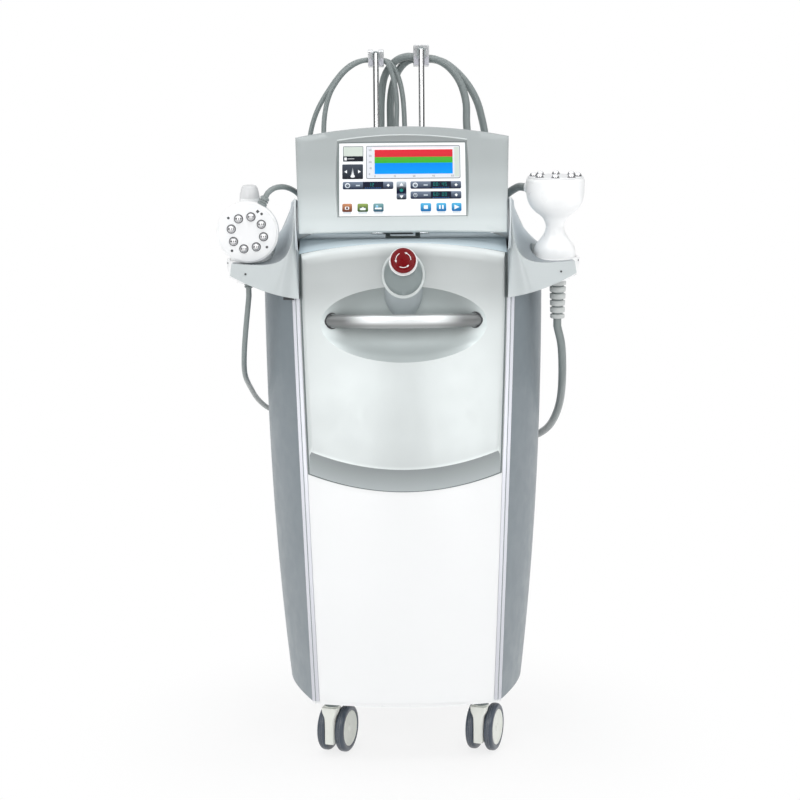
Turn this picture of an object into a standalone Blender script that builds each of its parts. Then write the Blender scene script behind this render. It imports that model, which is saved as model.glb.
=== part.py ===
"""Body contouring machine: a cabinet on casters with a tilting screen, two handpieces
in cups on side arms, and their hoses and cables draped over two poles.

Metres, +Z up. The front faces -Y and +X points to the right of somebody who stands
before it, as left and right do in the names. The origin is on the floor under its middle.
"""

import math

import bmesh
import bpy
from mathutils import Matrix, Vector

# Clearances and cuts
GAP = 0.0003
OVERRUN = 0.004
WALL = 0.004
RUNNING_GAP = 0.0005

# Casters
WHEEL_RADIUS = 0.040
TREAD_WIDTH = 0.015
TYRE_DEPTH = 0.010
TYRE_ROUND = 0.0045
HUB_DISH = 0.002
FORK_WIDTH = 0.016
FORK_GUARD_RADIUS = 0.0245
AXLE_RADIUS = 0.004
CASTER_TRAIL = 0.022
CASTER_REST_ANGLE = math.radians(-20)
COLLAR_RADIUS = 0.0135
COLLAR_BOTTOM = 0.076
COLLAR_GROOVE = 0.0015
CASTER_HEIGHT = 0.0984
STEM_RADIUS = 0.0065
STEM_LENGTH = 0.014
CASTER_X = 0.125
CASTER_FRONT_Y = -0.140
CASTER_REAR_Y = 0.165

# Cabinet
BASE_THICKNESS = 0.006
BASE_INSET = 0.005
PANEL_BOTTOM = 0.105
TAPER_TOP = 0.790
SIDE_TOP = 0.2375
SIDE_BOTTOM = 0.202
SIDE_POWER_SHARE = 2.2
TRIM_TOP = 0.180
TRIM_BOTTOM = 0.157
TRIM_POWER_SHARE = 1.2
TRIM_WIDTH = 0.012
TRIM_PROUD = 0.002
TRIM_DEPTH = 0.005
FRONT_REACH = 0.205
FRONT_BOW = 0.034
REAR_REACH = 0.245
REAR_DRAW = 0.045
FLANK_TURN = 0.070
FLANK_END = 0.150
FLANK_FRONT_COLUMNS = 7
FLANK_REAR_COLUMNS = 6

# Upper front cover with its recess
COVER_PROUD = 0.012
COVER_SIDE_GAP = 0.004
COVER_SEAT = 0.0006
COVER_ROUND = 0.005
COVER_TOP_CORNER = 0.845
COVER_TOP_RISE = 0.017
COVER_BOTTOM_CORNER = 0.488
COVER_BOTTOM_DROP = 0.029
COVER_CREST_RISE = 0.037
COVER_EDGE = 0.004
WINDOW_HALF = 0.136
WINDOW_BOTTOM = 0.525
WINDOW_TOP = 0.845
RECESS_Z = 0.733
RECESS_HALF_WIDTH = 0.134
RECESS_HALF_HEIGHT = 0.061
RECESS_DEPTH = 0.032
RECESS_POWER_SHARE = 2.5

# Push handle
HANDLE_Z = 0.738
HANDLE_HALF = 0.121
HANDLE_FRONT = 0.220
HANDLE_BOW = 0.036
HANDLE_HALF_HEIGHT = 0.0103
HANDLE_HALF_DEPTH = 0.009
HANDLE_END_SHARE = 0.78
HANDLE_SLOT = 0.0015

# Emergency stop
PEDESTAL_Z = 0.800
PEDESTAL_HALF_WIDTH = 0.034
PEDESTAL_HALF_HEIGHT = 0.046
PEDESTAL_BACK = 0.186
HORN_BASE_Z = 0.812
HORN_BASE_HALF_WIDTH = 0.033
HORN_BASE_HALF_HEIGHT = 0.035
HORN_BASE_Y = -0.2185
HORN_TOP_Y = -0.2415
HORN_TOP_Z = 0.8335
HORN_TOP_RADIUS = 0.0215
ESTOP_LIFT = math.radians(10)
ESTOP_RING_RADIUS = 0.0225
ESTOP_RING_THICKNESS = 0.0025
ESTOP_STEM_RADIUS = 0.008
ESTOP_STEM_DEPTH = 0.013
ESTOP_TRAVEL = 0.005
ESTOP_BUTTON_RADIUS = 0.020
ESTOP_BUTTON_HEIGHT = 0.012
ESTOP_SOCKET_DEPTH = 0.005

# Top deck
DECK_TOP = 0.868
DECK_RAMP = 0.045
SOCKET_RADIUS = 0.0095
WIDE_SOCKET_RADIUS = 0.0115
SOCKET_HEIGHT = 0.014
LEFT_HOSE_SOCKET = (-0.0125, 0.176)
LEFT_CABLE_SOCKET = (0.0085, 0.176)
RIGHT_HOSE_SOCKET = (-0.040, 0.212)
RIGHT_CABLE_SOCKET = (-0.013, 0.218)
DECK_ROW_SHARES = (0, 0.04, 0.08, 0.12, 0.3, 1)

# Arms and cheeks
ARM_ROOT_Z = 0.773
ARM_RISE = 0.038
ARM_LINEAR_SHARE = 0.35
ARM_TIP_X = 0.2795
ARM_FRONT_Y = -0.187
ARM_SWEEP = 0.012
ARM_LEAN = 0.030
ARM_TRAY_BACK_Y = -0.040
ARM_TIP_ROUND = 0.028
ARM_TIP_HEIGHT = 0.0195
ARM_TRAY_HEIGHT = 0.0275
ARM_TIP_INSET = 0.003
ARM_TRAY_DIP = 0.008
ARM_FRONT_CURVE_SHARE = 0.36
ARM_BACK_CURVE_SHARE = 0.63
CHEEK_GAP = 0.0045
CHEEK_NOTCH_Z = 0.849
CHEEK_TOP_Z = 0.934
CHEEK_THICKNESS = 0.003
CHEEK_BACK_THICKNESS = 0.015
CHEEK_BACK_DROP = 0.008
SHOULDER_LIP = 0.012
SHOULDER_LEAN = 0.004
SHOULDER_REAR_Z = 0.872

# Holders: the cups and the handpieces in them
HOLDER_X = 0.250
HOLDER_Y = -0.110
HOLDER_Z = 0.8315
HOLDER_TILT = math.radians(6)
CUP_RADIUS = 0.041
CUP_FOOT_RADIUS = 0.0365
CUP_COLLAR = 0.006
CUP_RIM = 0.0045
CUP_DEPTH = 0.0265
CUP_DISH_RADIUS = 0.0355
CUP_HOLE_RADIUS = 0.0215
CUP_NECK_RADIUS = 0.0255
CUP_NECK_DROP = 0.0345
RELIEF_SHIFT = 0.006

# Handpieces
SPIGOT_RADIUS = 0.0145
SPIGOT_LENGTH = 0.0295
GOBLET_HEAD_RADIUS = 0.048
GOBLET_HEIGHT = 0.1335
GRIP_BASE_RADIUS = 0.0343
GRIP_WAIST_RADIUS = 0.015
GRIP_HEIGHT = 0.1255
GRIP_STUB_RADIUS = 0.017
GRIP_TOP_RADIUS = 0.012
HEAD_RADIUS = 0.0498
HEAD_DEPTH = 0.048
HEAD_FORWARD = 0.056
HEAD_RIM_DEPTH = 0.015
HEAD_LIFT = 0.0045
FACE_RECESS_DEPTH = 0.004
FACE_PLATE_THICKNESS = 0.002
FACE_MARGIN = 0.0025
CARRIER_THICKNESS = 0.0032
CARRIER_HALF_WIDTH = 0.008
DOME_RADIUS = 0.0072
DOME_HEIGHT = 0.0065
DOME_TURN = math.radians(48)
DOME_COUNT = 8
LEFT_DOME_CIRCLE = 0.0265
RIGHT_DOME_CIRCLE = 0.036
LEFT_DOME_ANGLE = math.radians(76)
RIGHT_DOME_ANGLE = math.radians(-96)
GLAND_ANGLE = math.radians(62)
GLAND_RADIUS = 0.0078
GLAND_LENGTH = 0.0135
HOSE_BOSS_ANGLE = math.radians(138)
HOSE_BOSS_RADIUS = 0.0095
HOSE_BOSS_REACH = 0.060
HOSE_BOSS_Z = 0.114

# Cable reliefs
LEFT_RELIEF_RADIUS = 0.0075
LEFT_RELIEF_LENGTH = 0.014
RIGHT_RELIEF_RADIUS = 0.014
RIGHT_RELIEF_END_RADIUS = 0.012
RIGHT_RELIEF_LENGTH = 0.069
RELIEF_GROOVE = 0.0035
RIGHT_RELIEF_RIBS = 6

# Display
PIVOT_Y = -0.117
PIVOT_Z = 0.890
DISPLAY_LEAN = math.radians(20)
DISPLAY_BOTTOM_HALF = 0.168
DISPLAY_TOP_HALF = 0.1745
DISPLAY_BOTTOM = -0.030
DISPLAY_CORNER = 0.1360
DISPLAY_ARCH = 0.0160
DISPLAY_FRONT = -0.045
DISPLAY_CROWN = 0.006
DISPLAY_ROUND = 0.002
DISPLAY_SPLIT = -0.018
DISPLAY_FOOT_LIFT = 0.012
DISPLAY_REAR = 0.006
DISPLAY_REAR_INSET = 0.028
SCREEN_HALF_WIDTH = 0.1026
SCREEN_BOTTOM = -0.0010
SCREEN_TOP = 0.1244
SCREEN_THICKNESS = 0.004
POCKET_MARGIN = 0.003
POCKET_ARCH = 0.008
POCKET_BULGE = 0.0015
POCKET_LEDGE = 0.002
POCKET_FLOOR = -0.0405
KNUCKLE_RADIUS = 0.007
KNUCKLE_HALF = 0.020
HINGE_PIN_RADIUS = 0.0035
EAR_HALF_DEPTH = 0.0055
EAR_WIDTH = 0.008
HINGE_BASE_THICKNESS = 0.003

# Poles and clips
POLE_LEFT_X = -0.045
POLE_RIGHT_X = 0.0365
POLE_Y = 0.160
POLE_RADIUS = 0.0053
POLE_FLANGE_RADIUS = 0.013
POLE_FLANGE_HEIGHT = 0.004
CLIP_WIDTH = 0.028
CLIP_BAND = 0.003
CLIP_DEPTH = 0.045
LEFT_CLIP_TOP = 1.198
LEFT_CLIP_HEIGHT = 0.029
RIGHT_CLIP_TOP = 1.205
RIGHT_CLIP_HEIGHT = 0.0355

# Rear panel, ventilation and mains module
FAN_X = 0.085
FAN_Z = 0.300
FAN_HALF = 0.046
FAN_DEPTH = 0.025
FAN_BORE_RADIUS = 0.042
FAN_HUB_RADIUS = 0.018
FAN_PIN_RADIUS = 0.003
FAN_BACK = 0.004
FAN_STRUT_HALF = 0.003
FAN_BLADES = 7
FAN_BLADE_SHARES = (0.06, 0.34, 0.45)
GRILLE_SLOTS = 7
GRILLE_RADIUS = 0.040
VENT_COUNT = 6
VENT_HALF_WIDTH = 0.070
VENT_HEIGHT = 0.005
VENT_PITCH = 0.013
VENT_Z = 0.660
INLET_X = -0.100
INLET_Z = 0.180
INLET_HALF_WIDTH = 0.0165
INLET_HALF_HEIGHT = 0.030
INLET_FLANGE = 0.004
INLET_DEPTH = 0.030
SOCKET_CAVITY_HALF_WIDTH = 0.0122
SOCKET_CAVITY_HALF_HEIGHT = 0.0085
SOCKET_CAVITY_DEPTH = 0.016
ROCKER_HALF_WIDTH = 0.0095
ROCKER_HALF_HEIGHT = 0.0105
ROCKER_DEPTH = 0.007
ROCKER_PROUD = 0.0022
ROCKER_TURN = math.radians(16)
ROCKER_SWING = 0.0015

# Chassis and the modules on it
POST_SIZE = 0.016
POST_X = 0.132
POST_FRONT_Y = -0.108
POST_REAR_Y = 0.205
SHELF_THICKNESS = 0.004
LOWER_SHELF_Z = 0.360
UPPER_SHELF_Z = 0.600
SUPPLY_SIZE = (0.150, 0.110, 0.060)
SUPPLY_Y = 0.030
GENERATOR_SIZE = (0.180, 0.150, 0.090)
GENERATOR_Y = 0.040
PUMP_RADIUS = 0.036
PUMP_LENGTH = 0.110
PUMP_Y = 0.090
PUMP_FOOT = 0.012

# Hoses and cables
LINE_RADIUS = 0.0045
WIDE_LINE_RADIUS = 0.00675
LINE_STEP_SHARE = 4.0
LINE_TURN = math.radians(38)

# Counts of facets
WHEEL_FACETS = 14
ROUND_FACETS = 18
SMALL_FACETS = 10
DOME_FACETS = 8
RING_POINTS = 32
PANEL_LEVELS = 6


def remove_all():
    """Start from an empty scene."""
    for item in list(bpy.data.objects):
        bpy.data.objects.remove(item, do_unlink=True)


def finish(name, colour, roughness, metallic):
    """A plain Principled material."""
    material = bpy.data.materials.new(name)
    material.use_nodes = True
    shader = material.node_tree.nodes["Principled BSDF"]
    shader.inputs["Base Color"].default_value = (*colour, 1)
    shader.inputs["Roughness"].default_value = roughness
    shader.inputs["Metallic"].default_value = metallic
    return material


SILVER = ("silver_plastic", (0.56, 0.58, 0.58), 0.35, 0.4)
BLUE_GREY = ("blue_grey_plastic", (0.26, 0.31, 0.36), 0.45, 0.0)
WHITE = ("white_plastic", (0.86, 0.87, 0.88), 0.35, 0.0)
LAVENDER = ("lavender_strip", (0.60, 0.60, 0.72), 0.3, 0.2)
STEEL = ("grey_steel", (0.42, 0.43, 0.44), 0.4, 0.9)
CHROME = ("chrome", (0.80, 0.80, 0.82), 0.12, 1.0)
TYRE = ("tyre_rubber", (0.05, 0.06, 0.08), 0.6, 0.0)
HUB = ("hub_plastic", (0.74, 0.75, 0.70), 0.45, 0.0)
RED = ("stop_red", (0.55, 0.01, 0.02), 0.25, 0.0)
GLASS = ("screen_glass", (0.70, 0.78, 0.86), 0.1, 0.0)
DARK = ("dark_plastic", (0.04, 0.045, 0.05), 0.5, 0.0)
LINE = ("line_rubber", (0.22, 0.26, 0.25), 0.55, 0.0)
RELIEF = ("relief_rubber", (0.62, 0.64, 0.62), 0.55, 0.0)


def add_object(name, bm, look, parent=None):
    """Turn a bmesh into a named object with its own material, shaded smooth but for its edges."""
    bmesh.ops.recalc_face_normals(bm, faces=bm.faces)
    mesh = bpy.data.meshes.new(name)
    bm.to_mesh(mesh)
    bm.free()
    mesh.shade_smooth()
    mesh.set_sharp_from_angle(angle=math.radians(35))
    label, colour, roughness, metallic = look
    mesh.materials.append(finish(name + "_" + label, colour, roughness, metallic))
    item = bpy.data.objects.new(name, mesh)
    bpy.context.scene.collection.objects.link(item)
    item.parent = parent
    return item


def add_tool(name, bm, parent=None):
    """An object that only cuts or joins, hidden in renders."""
    bmesh.ops.recalc_face_normals(bm, faces=bm.faces)
    mesh = bpy.data.meshes.new(name)
    bm.to_mesh(mesh)
    bm.free()
    item = bpy.data.objects.new(name, mesh)
    bpy.context.scene.collection.objects.link(item)
    item.parent = parent
    item.hide_render = True
    item.display_type = "WIRE"
    return item


def combine(item, tool, operation):
    """Cut an object with a tool, or join the tool to it."""
    modifier = item.modifiers.new(operation.lower() + "_" + tool.name, "BOOLEAN")
    modifier.operation = operation
    modifier.object = tool
    modifier.solver = "EXACT"


def add_pivot(name, location, rotation=(0, 0, 0), parent=None):
    """An empty that carries the pieces of one holder or moving group."""
    pivot = bpy.data.objects.new(name, None)
    pivot.location = location
    pivot.rotation_euler = rotation
    pivot.parent = parent
    bpy.context.scene.collection.objects.link(pivot)
    return pivot


def mix(low, high, share):
    """The value at a share of the way from low to high."""
    return low + (high - low) * share


def ease(share):
    """A smooth step from 0 to 1."""
    share = min(max(share, 0), 1)
    return share * share * (3 - 2 * share)


def spread(low, high, count):
    """Evenly spaced values, both ends included."""
    return [mix(low, high, i / (count - 1)) for i in range(count)]


def quadratic(start, bend, end, share):
    """A point on the curve from start to end that one bend point pulls."""
    first = [mix(a, b, share) for a, b in zip(start, bend)]
    second = [mix(a, b, share) for a, b in zip(bend, end)]
    return tuple(mix(a, b, share) for a, b in zip(first, second))


def cubic(start, leave, arrive, end, share):
    """A point on the curve from start to end that two bend points pull."""
    first = quadratic(start, leave, arrive, share)
    second = quadratic(leave, arrive, end, share)
    return tuple(mix(a, b, share) for a, b in zip(first, second))


def offset_path(points, distance):
    """An open plan path moved to its left by a distance."""
    moved = []
    for i, (x, y) in enumerate(points):
        before = points[max(i - 1, 0)]
        after = points[min(i + 1, len(points) - 1)]
        along = Vector((after[0] - before[0], after[1] - before[1])).normalized()
        moved.append((x - along.y * distance, y + along.x * distance))
    return moved


def loft(rings, start_tip=None, end_tip=None, wrap=False):
    """A closed skin through rings of as many points, capped flat, to a tip, or back to the first."""
    bm = bmesh.new()
    rows = [[bm.verts.new(point) for point in ring] for ring in rings]
    count = len(rows[0])
    pairs = list(zip(rows, rows[1:]))
    if wrap:
        pairs.append((rows[-1], rows[0]))
    for low, high in pairs:
        for i in range(count):
            j = (i + 1) % count
            bm.faces.new((low[i], low[j], high[j], high[i]))
    if not wrap:
        close_ring(bm, rows[0], start_tip)
        close_ring(bm, rows[-1], end_tip)
    return bm


def close_ring(bm, ring, tip):
    """Close one end of a skin with a flat face or a fan to a tip."""
    if tip is None:
        bm.faces.new(ring)
        return
    middle = bm.verts.new(tip)
    for i, vertex in enumerate(ring):
        bm.faces.new((vertex, ring[(i + 1) % len(ring)], middle))


def shell(outer, inner):
    """A closed slab between two grids of as many rows and columns."""
    bm = bmesh.new()
    front = [[bm.verts.new(point) for point in row] for row in outer]
    back = [[bm.verts.new(point) for point in row] for row in inner]
    rows = len(front)
    columns = len(front[0])
    for r in range(rows - 1):
        for c in range(columns - 1):
            bm.faces.new((front[r][c], front[r][c + 1], front[r + 1][c + 1], front[r + 1][c]))
            bm.faces.new((back[r][c], back[r + 1][c], back[r + 1][c + 1], back[r][c + 1]))
        for c in (0, columns - 1):
            bm.faces.new((front[r][c], front[r + 1][c], back[r + 1][c], back[r][c]))
    for c in range(columns - 1):
        for r in (0, rows - 1):
            bm.faces.new((front[r][c], front[r][c + 1], back[r][c + 1], back[r][c]))
    return bm


def lathe(profile, facets, closed=False):
    """Spin a profile of (radius, height) points about Z; a closed one makes a ring."""
    bm = bmesh.new()
    verts = [bm.verts.new((radius, 0, height)) for radius, height in profile]
    edges = [bm.edges.new(pair) for pair in zip(verts, verts[1:])]
    if closed:
        edges.append(bm.edges.new((verts[-1], verts[0])))
    bmesh.ops.spin(bm, geom=verts + edges, cent=(0, 0, 0), axis=(0, 0, 1),
                   angle=math.tau, steps=facets, use_merge=True)
    bmesh.ops.remove_doubles(bm, verts=bm.verts, dist=GAP * 0.1)
    return bm


def add_box(bm, low, high):
    """Add one box to a bmesh."""
    made = bmesh.ops.create_cube(bm, size=1)
    size = Vector(high) - Vector(low)
    middle = (Vector(high) + Vector(low)) / 2
    place = Matrix.Translation(middle) @ Matrix.Diagonal((*size, 1))
    bmesh.ops.transform(bm, matrix=place, verts=made["verts"])


def boxes(*corners):
    """A bmesh of separate boxes."""
    bm = bmesh.new()
    for low, high in corners:
        add_box(bm, low, high)
    return bm


def rod(start, end, radius, facets):
    """A bmesh of one round bar between two points."""
    start = Vector(start)
    along = Vector(end) - start
    bm = lathe([(0, 0), (radius, 0), (radius, along.length), (0, along.length)], facets)
    turn = Vector((0, 0, 1)).rotation_difference(along).to_matrix().to_4x4()
    bmesh.ops.transform(bm, matrix=Matrix.Translation(start) @ turn, verts=bm.verts)
    return bm


def ellipse_ring(middle_z, half_width, half_height, y, count):
    """A ring in an XZ plane, from its bottom round."""
    ring = []
    for i in range(count):
        angle = math.tau * i / count - math.pi / 2
        ring.append((half_width * math.cos(angle), y, middle_z + half_height * math.sin(angle)))
    return ring


def rectangle_ring(half_width, half_height, y):
    """A four point ring in an XZ plane."""
    corners = ((-1, -1), (1, -1), (1, 1), (-1, 1))
    return [(half_width * x, y, half_height * z) for x, z in corners]


def taper(z, top, bottom, power_share):
    """A half width that is full at the taper's top and drawn in towards the floor."""
    share = min(max((TAPER_TOP - z) / (TAPER_TOP - PANEL_BOTTOM), 0), 1)
    return top - (top - bottom) * share ** power_share


def side_reach(z):
    """How far the side panels reach from the middle at a height."""
    return taper(z, SIDE_TOP, SIDE_BOTTOM, SIDE_POWER_SHARE)


def trim_outer(z):
    """Where the trim strips end at a height."""
    return taper(z, TRIM_TOP, TRIM_BOTTOM, TRIM_POWER_SHARE)


def trim_inner(z):
    """Where the front panel ends and the trim strips start at a height."""
    return trim_outer(z) - TRIM_WIDTH


def front_y(x):
    """The bowed face of the front panel."""
    return -FRONT_REACH + FRONT_BOW * (x / TRIM_TOP) ** 2


ARM_INNER = TRIM_TOP - TRIM_WIDTH
CHEEK_INNER = ARM_INNER + CHEEK_GAP


def arm_underside(x):
    """The height of the arms' curved underside at a distance from the middle."""
    share = max((x - ARM_INNER) / (ARM_TIP_X - ARM_INNER), 0)
    return ARM_ROOT_Z + ARM_RISE * (ARM_LINEAR_SHARE * share + (1 - ARM_LINEAR_SHARE) * share ** 2)


def side_plan(z):
    """The plan path of a side panel at a height, from the trim strip round to the rear panel."""
    edge = trim_outer(z) + GAP
    reach = side_reach(z)
    corner = (edge, front_y(edge))
    belly = (reach, 0)
    rear = (reach - REAR_DRAW, REAR_REACH)
    front_shares = spread(0, 1, FLANK_FRONT_COLUMNS)
    rear_shares = spread(0, 1, FLANK_REAR_COLUMNS)[1:]
    path = [quadratic(corner, (reach, -FLANK_TURN), belly, share) for share in front_shares]
    path += [quadratic(belly, (reach, FLANK_END), rear, share) for share in rear_shares]
    return path


def side_plan_inner(z):
    """The inside of the same path, one wall in, with its ends square to the neighbours."""
    outer = side_plan(z)
    inner = offset_path(outer, WALL)
    inner[0] = (outer[0][0], outer[0][1] + WALL)
    inner[-1] = (outer[-1][0] - WALL, outer[-1][1])
    return inner


def build_side_panel(name, side):
    """A side panel whose flank turns from the front to the rear and tapers to the floor."""
    outer = []
    inner = []
    for share in spread(0, 1, PANEL_LEVELS):
        level = mix(PANEL_BOTTOM, ARM_ROOT_Z, share)
        outer_row = []
        inner_row = []
        for (x, y), (ix, iy) in zip(side_plan(level), side_plan_inner(level)):
            outer_row.append((side * x, y, mix(PANEL_BOTTOM, arm_underside(x) - GAP, share)))
            inner_row.append((side * ix, iy, mix(PANEL_BOTTOM, arm_underside(ix) - GAP, share)))
        outer.append(outer_row)
        inner.append(inner_row)
    return add_object(name, shell(outer, inner), BLUE_GREY)


def build_trim_strip(name, side):
    """A pale strip between the front panel and a side panel."""
    rings = []
    for share in spread(0, 1, PANEL_LEVELS):
        level = mix(PANEL_BOTTOM, ARM_ROOT_Z, share)
        low = trim_inner(level)
        high = trim_outer(level)
        ring = []
        for x, proud in ((low, -TRIM_DEPTH), (low, TRIM_PROUD / 2), (mix(low, high, 0.5), TRIM_PROUD),
                         (high, TRIM_PROUD / 2), (high, -TRIM_DEPTH / 2)):
            z = mix(PANEL_BOTTOM, arm_underside(x) - GAP, share)
            ring.append((side * x, front_y(x) - proud, z))
        rings.append(ring)
    return add_object(name, loft(rings), LAVENDER)


def build_front_panel():
    """The white bowed panel, with a window behind the upper cover."""
    outer = []
    inner = []
    top = COVER_TOP_CORNER - WALL - GAP
    for z in spread(PANEL_BOTTOM, ARM_ROOT_Z, PANEL_LEVELS) + [top]:
        half = trim_inner(z) - GAP
        row = [(x, front_y(x), z) for x in spread(-half, half, 11)]
        outer.append(row)
        inner.append([(x, y + WALL, level) for x, y, level in row])
    panel = add_object("front_panel", shell(outer, inner), WHITE)
    window = boxes(((-WINDOW_HALF, -FRONT_REACH - OVERRUN, WINDOW_BOTTOM),
                    (WINDOW_HALF, front_y(WINDOW_HALF) + WALL + OVERRUN, WINDOW_TOP)))
    combine(panel, add_tool("front_panel_window", window), "DIFFERENCE")
    return panel


def cover_outline(inset, top_inset, bottom_inset, count):
    """Points round the cover's arched outline, from its bottom left corner, before any depth."""
    across = count * 3 // 10
    upright = count // 2 - across
    top_corner = COVER_TOP_CORNER - top_inset
    bottom_corner = COVER_BOTTOM_CORNER + bottom_inset
    low_half = trim_inner(bottom_corner) - inset
    high_half = trim_inner(top_corner) - inset
    points = []
    for i in range(across):
        share = 2 * i / across - 1
        points.append((low_half * share, bottom_corner - COVER_BOTTOM_DROP * (1 - share ** 2)))
    for i in range(upright):
        z = mix(bottom_corner, top_corner, i / upright)
        points.append((trim_inner(z) - inset, z))
    for i in range(across):
        share = 1 - 2 * i / across
        points.append((high_half * share, top_corner + COVER_TOP_RISE * (1 - share ** 2)))
    for i in range(upright):
        z = mix(top_corner, bottom_corner, i / upright)
        points.append((inset - trim_inner(z), z))
    return points


def recess_point(angle, share, lift):
    """A point of the handle recess at an angle and a share of its radius."""
    x = RECESS_HALF_WIDTH * share * math.cos(angle)
    z = RECESS_Z + RECESS_HALF_HEIGHT * share * math.sin(angle)
    depth = RECESS_DEPTH * (1 - share ** RECESS_POWER_SHARE)
    return (x, front_y(x) - COVER_PROUD + depth + lift, z)


def build_cover():
    """The silver cover that stands proud of the front panel, with its elliptical recess."""
    edge = cover_outline(COVER_SIDE_GAP, 0, 0, RING_POINTS)
    side = cover_outline(COVER_SIDE_GAP, 0, COVER_EDGE, RING_POINTS)
    face = cover_outline(COVER_SIDE_GAP + COVER_ROUND, COVER_ROUND, COVER_CREST_RISE, RING_POINTS)
    angles = [math.atan2((z - RECESS_Z) / RECESS_HALF_HEIGHT, x / RECESS_HALF_WIDTH) for x, z in face]
    front_shares = (1, 0.92, 0.78, 0.58, 0.30)
    back_shares = (0.30, 0.66, 1)
    outer = [[(x, front_y(x) - COVER_SEAT - COVER_EDGE, z) for x, z in edge]]
    outer.append([(x, front_y(x) - COVER_PROUD + COVER_ROUND, z) for x, z in side])
    outer.append([(x, front_y(x) - COVER_PROUD, z) for x, z in face])
    outer += [[recess_point(angle, share, 0) for angle in angles] for share in front_shares]
    back = [[recess_point(angle, share, WALL) for angle in angles] for share in back_shares]
    back.append([(x, front_y(x) - COVER_PROUD + WALL, z) for x, z in face])
    back.append([(x, front_y(x) - COVER_SEAT, z) for x, z in inset_outline(edge, WALL)])
    rings = list(reversed(outer)) + [[(x, front_y(x) - COVER_SEAT, z) for x, z in edge]]
    rings += list(reversed(back))
    front_tip = recess_point(0, 0, 0)
    back_tip = recess_point(0, 0, WALL)
    cover = add_object("upper_front_cover", loft(rings, front_tip, back_tip), SILVER)
    pedestal = loft([
        ellipse_ring(PEDESTAL_Z, PEDESTAL_HALF_WIDTH, PEDESTAL_HALF_HEIGHT, -PEDESTAL_BACK, ROUND_FACETS),
        ellipse_ring(HORN_BASE_Z, HORN_BASE_HALF_WIDTH, HORN_BASE_HALF_HEIGHT, HORN_BASE_Y, ROUND_FACETS),
    ])
    combine(cover, add_tool("cover_pedestal", pedestal), "UNION")
    combine(cover, add_tool("cover_handle_cut", handle_bar(0, RUNNING_GAP)), "DIFFERENCE")
    combine(cover, add_tool("cover_handle_slot", handle_bar(HANDLE_SLOT, RUNNING_GAP)), "DIFFERENCE")
    return cover


def inset_outline(points, distance):
    """A closed outline, counterclockwise, moved inwards by a distance."""
    count = len(points)
    moved = []
    for i, (x, z) in enumerate(points):
        before = points[i - 1]
        after = points[(i + 1) % count]
        along = Vector((after[0] - before[0], after[1] - before[1])).normalized()
        moved.append((x - along.y * distance, z + along.x * distance))
    return moved


def handle_bar(longer, fatter):
    """The bowed bar of the push handle, or a larger copy of it that cuts its slots."""
    rings = []
    for angle in spread(-math.pi / 2, math.pi / 2, 15):
        share = mix(1, HANDLE_END_SHARE, abs(math.sin(angle)) ** 4)
        half_depth = HANDLE_HALF_DEPTH * share + fatter
        half_height = HANDLE_HALF_HEIGHT * share + fatter
        middle = Vector(((HANDLE_HALF + longer) * math.sin(angle),
                         -HANDLE_FRONT + HANDLE_BOW * (1 - math.cos(angle)), HANDLE_Z))
        outward = Vector((math.sin(angle) * HANDLE_BOW, -math.cos(angle) * HANDLE_HALF, 0)).normalized()
        ring = []
        for i in range(SMALL_FACETS):
            turn = math.tau * i / SMALL_FACETS
            ring.append(middle + outward * half_depth * math.cos(turn)
                        + Vector((0, 0, half_height * math.sin(turn))))
        rings.append(ring)
    return loft(rings)


def build_base_plate():
    """The steel plate that carries the panels on top and the casters below."""
    half = trim_outer(PANEL_BOTTOM)
    front = [(x, front_y(x)) for x in spread(-half, half, 9)]
    right = side_plan(PANEL_BOTTOM)[1:]
    left = [(-x, y) for x, y in reversed(right)]
    outline = inset_outline(front + right + left, BASE_INSET)
    top = PANEL_BOTTOM - GAP
    rings = [[(x, y, z) for x, y in outline] for z in (top - BASE_THICKNESS, top)]
    plate = add_object("base_plate", loft(rings), WHITE)
    holes = bmesh.new()
    for x, y in caster_places().values():
        radius = round_clear(STEM_RADIUS + GAP, SMALL_FACETS)
        low = -BASE_THICKNESS - OVERRUN
        hole = lathe([(0, low), (radius, low), (radius, OVERRUN), (0, OVERRUN)], SMALL_FACETS)
        bmesh.ops.translate(hole, vec=(x, y, top), verts=hole.verts)
        append(holes, hole)
    combine(plate, add_tool("base_plate_holes", holes), "DIFFERENCE")
    return plate


def round_clear(radius, facets):
    """The corner radius of a faceted hole whose flats stay outside a radius."""
    return radius / math.cos(math.pi / facets)


def append(target, source):
    """Add a copy of one bmesh to another."""
    mesh = bpy.data.meshes.new("joined")
    source.to_mesh(mesh)
    source.free()
    target.from_mesh(mesh)
    bpy.data.meshes.remove(mesh)


def caster_places():
    """Where each caster's stem stands."""
    return {
        "front_left": (-CASTER_X, CASTER_FRONT_Y),
        "front_right": (CASTER_X, CASTER_FRONT_Y),
        "rear_left": (-CASTER_X, CASTER_REAR_Y),
        "rear_right": (CASTER_X, CASTER_REAR_Y),
    }


def fork_plate():
    """The flat body between the wheels, from the collar round the axle."""
    half = COLLAR_RADIUS - COLLAR_GROOVE
    top = COLLAR_BOTTOM + half / 2
    outline = [(-half, top), (-half, COLLAR_BOTTOM - half / 2)]
    for angle in spread(math.radians(170), math.radians(420), 11):
        outline.append((CASTER_TRAIL + FORK_GUARD_RADIUS * math.cos(angle),
                        WHEEL_RADIUS + FORK_GUARD_RADIUS * math.sin(angle)))
    outline.append((half, top))
    return loft([[(x, y, z) for y, z in outline] for x in (-FORK_WIDTH / 2, FORK_WIDTH / 2)])


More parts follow.
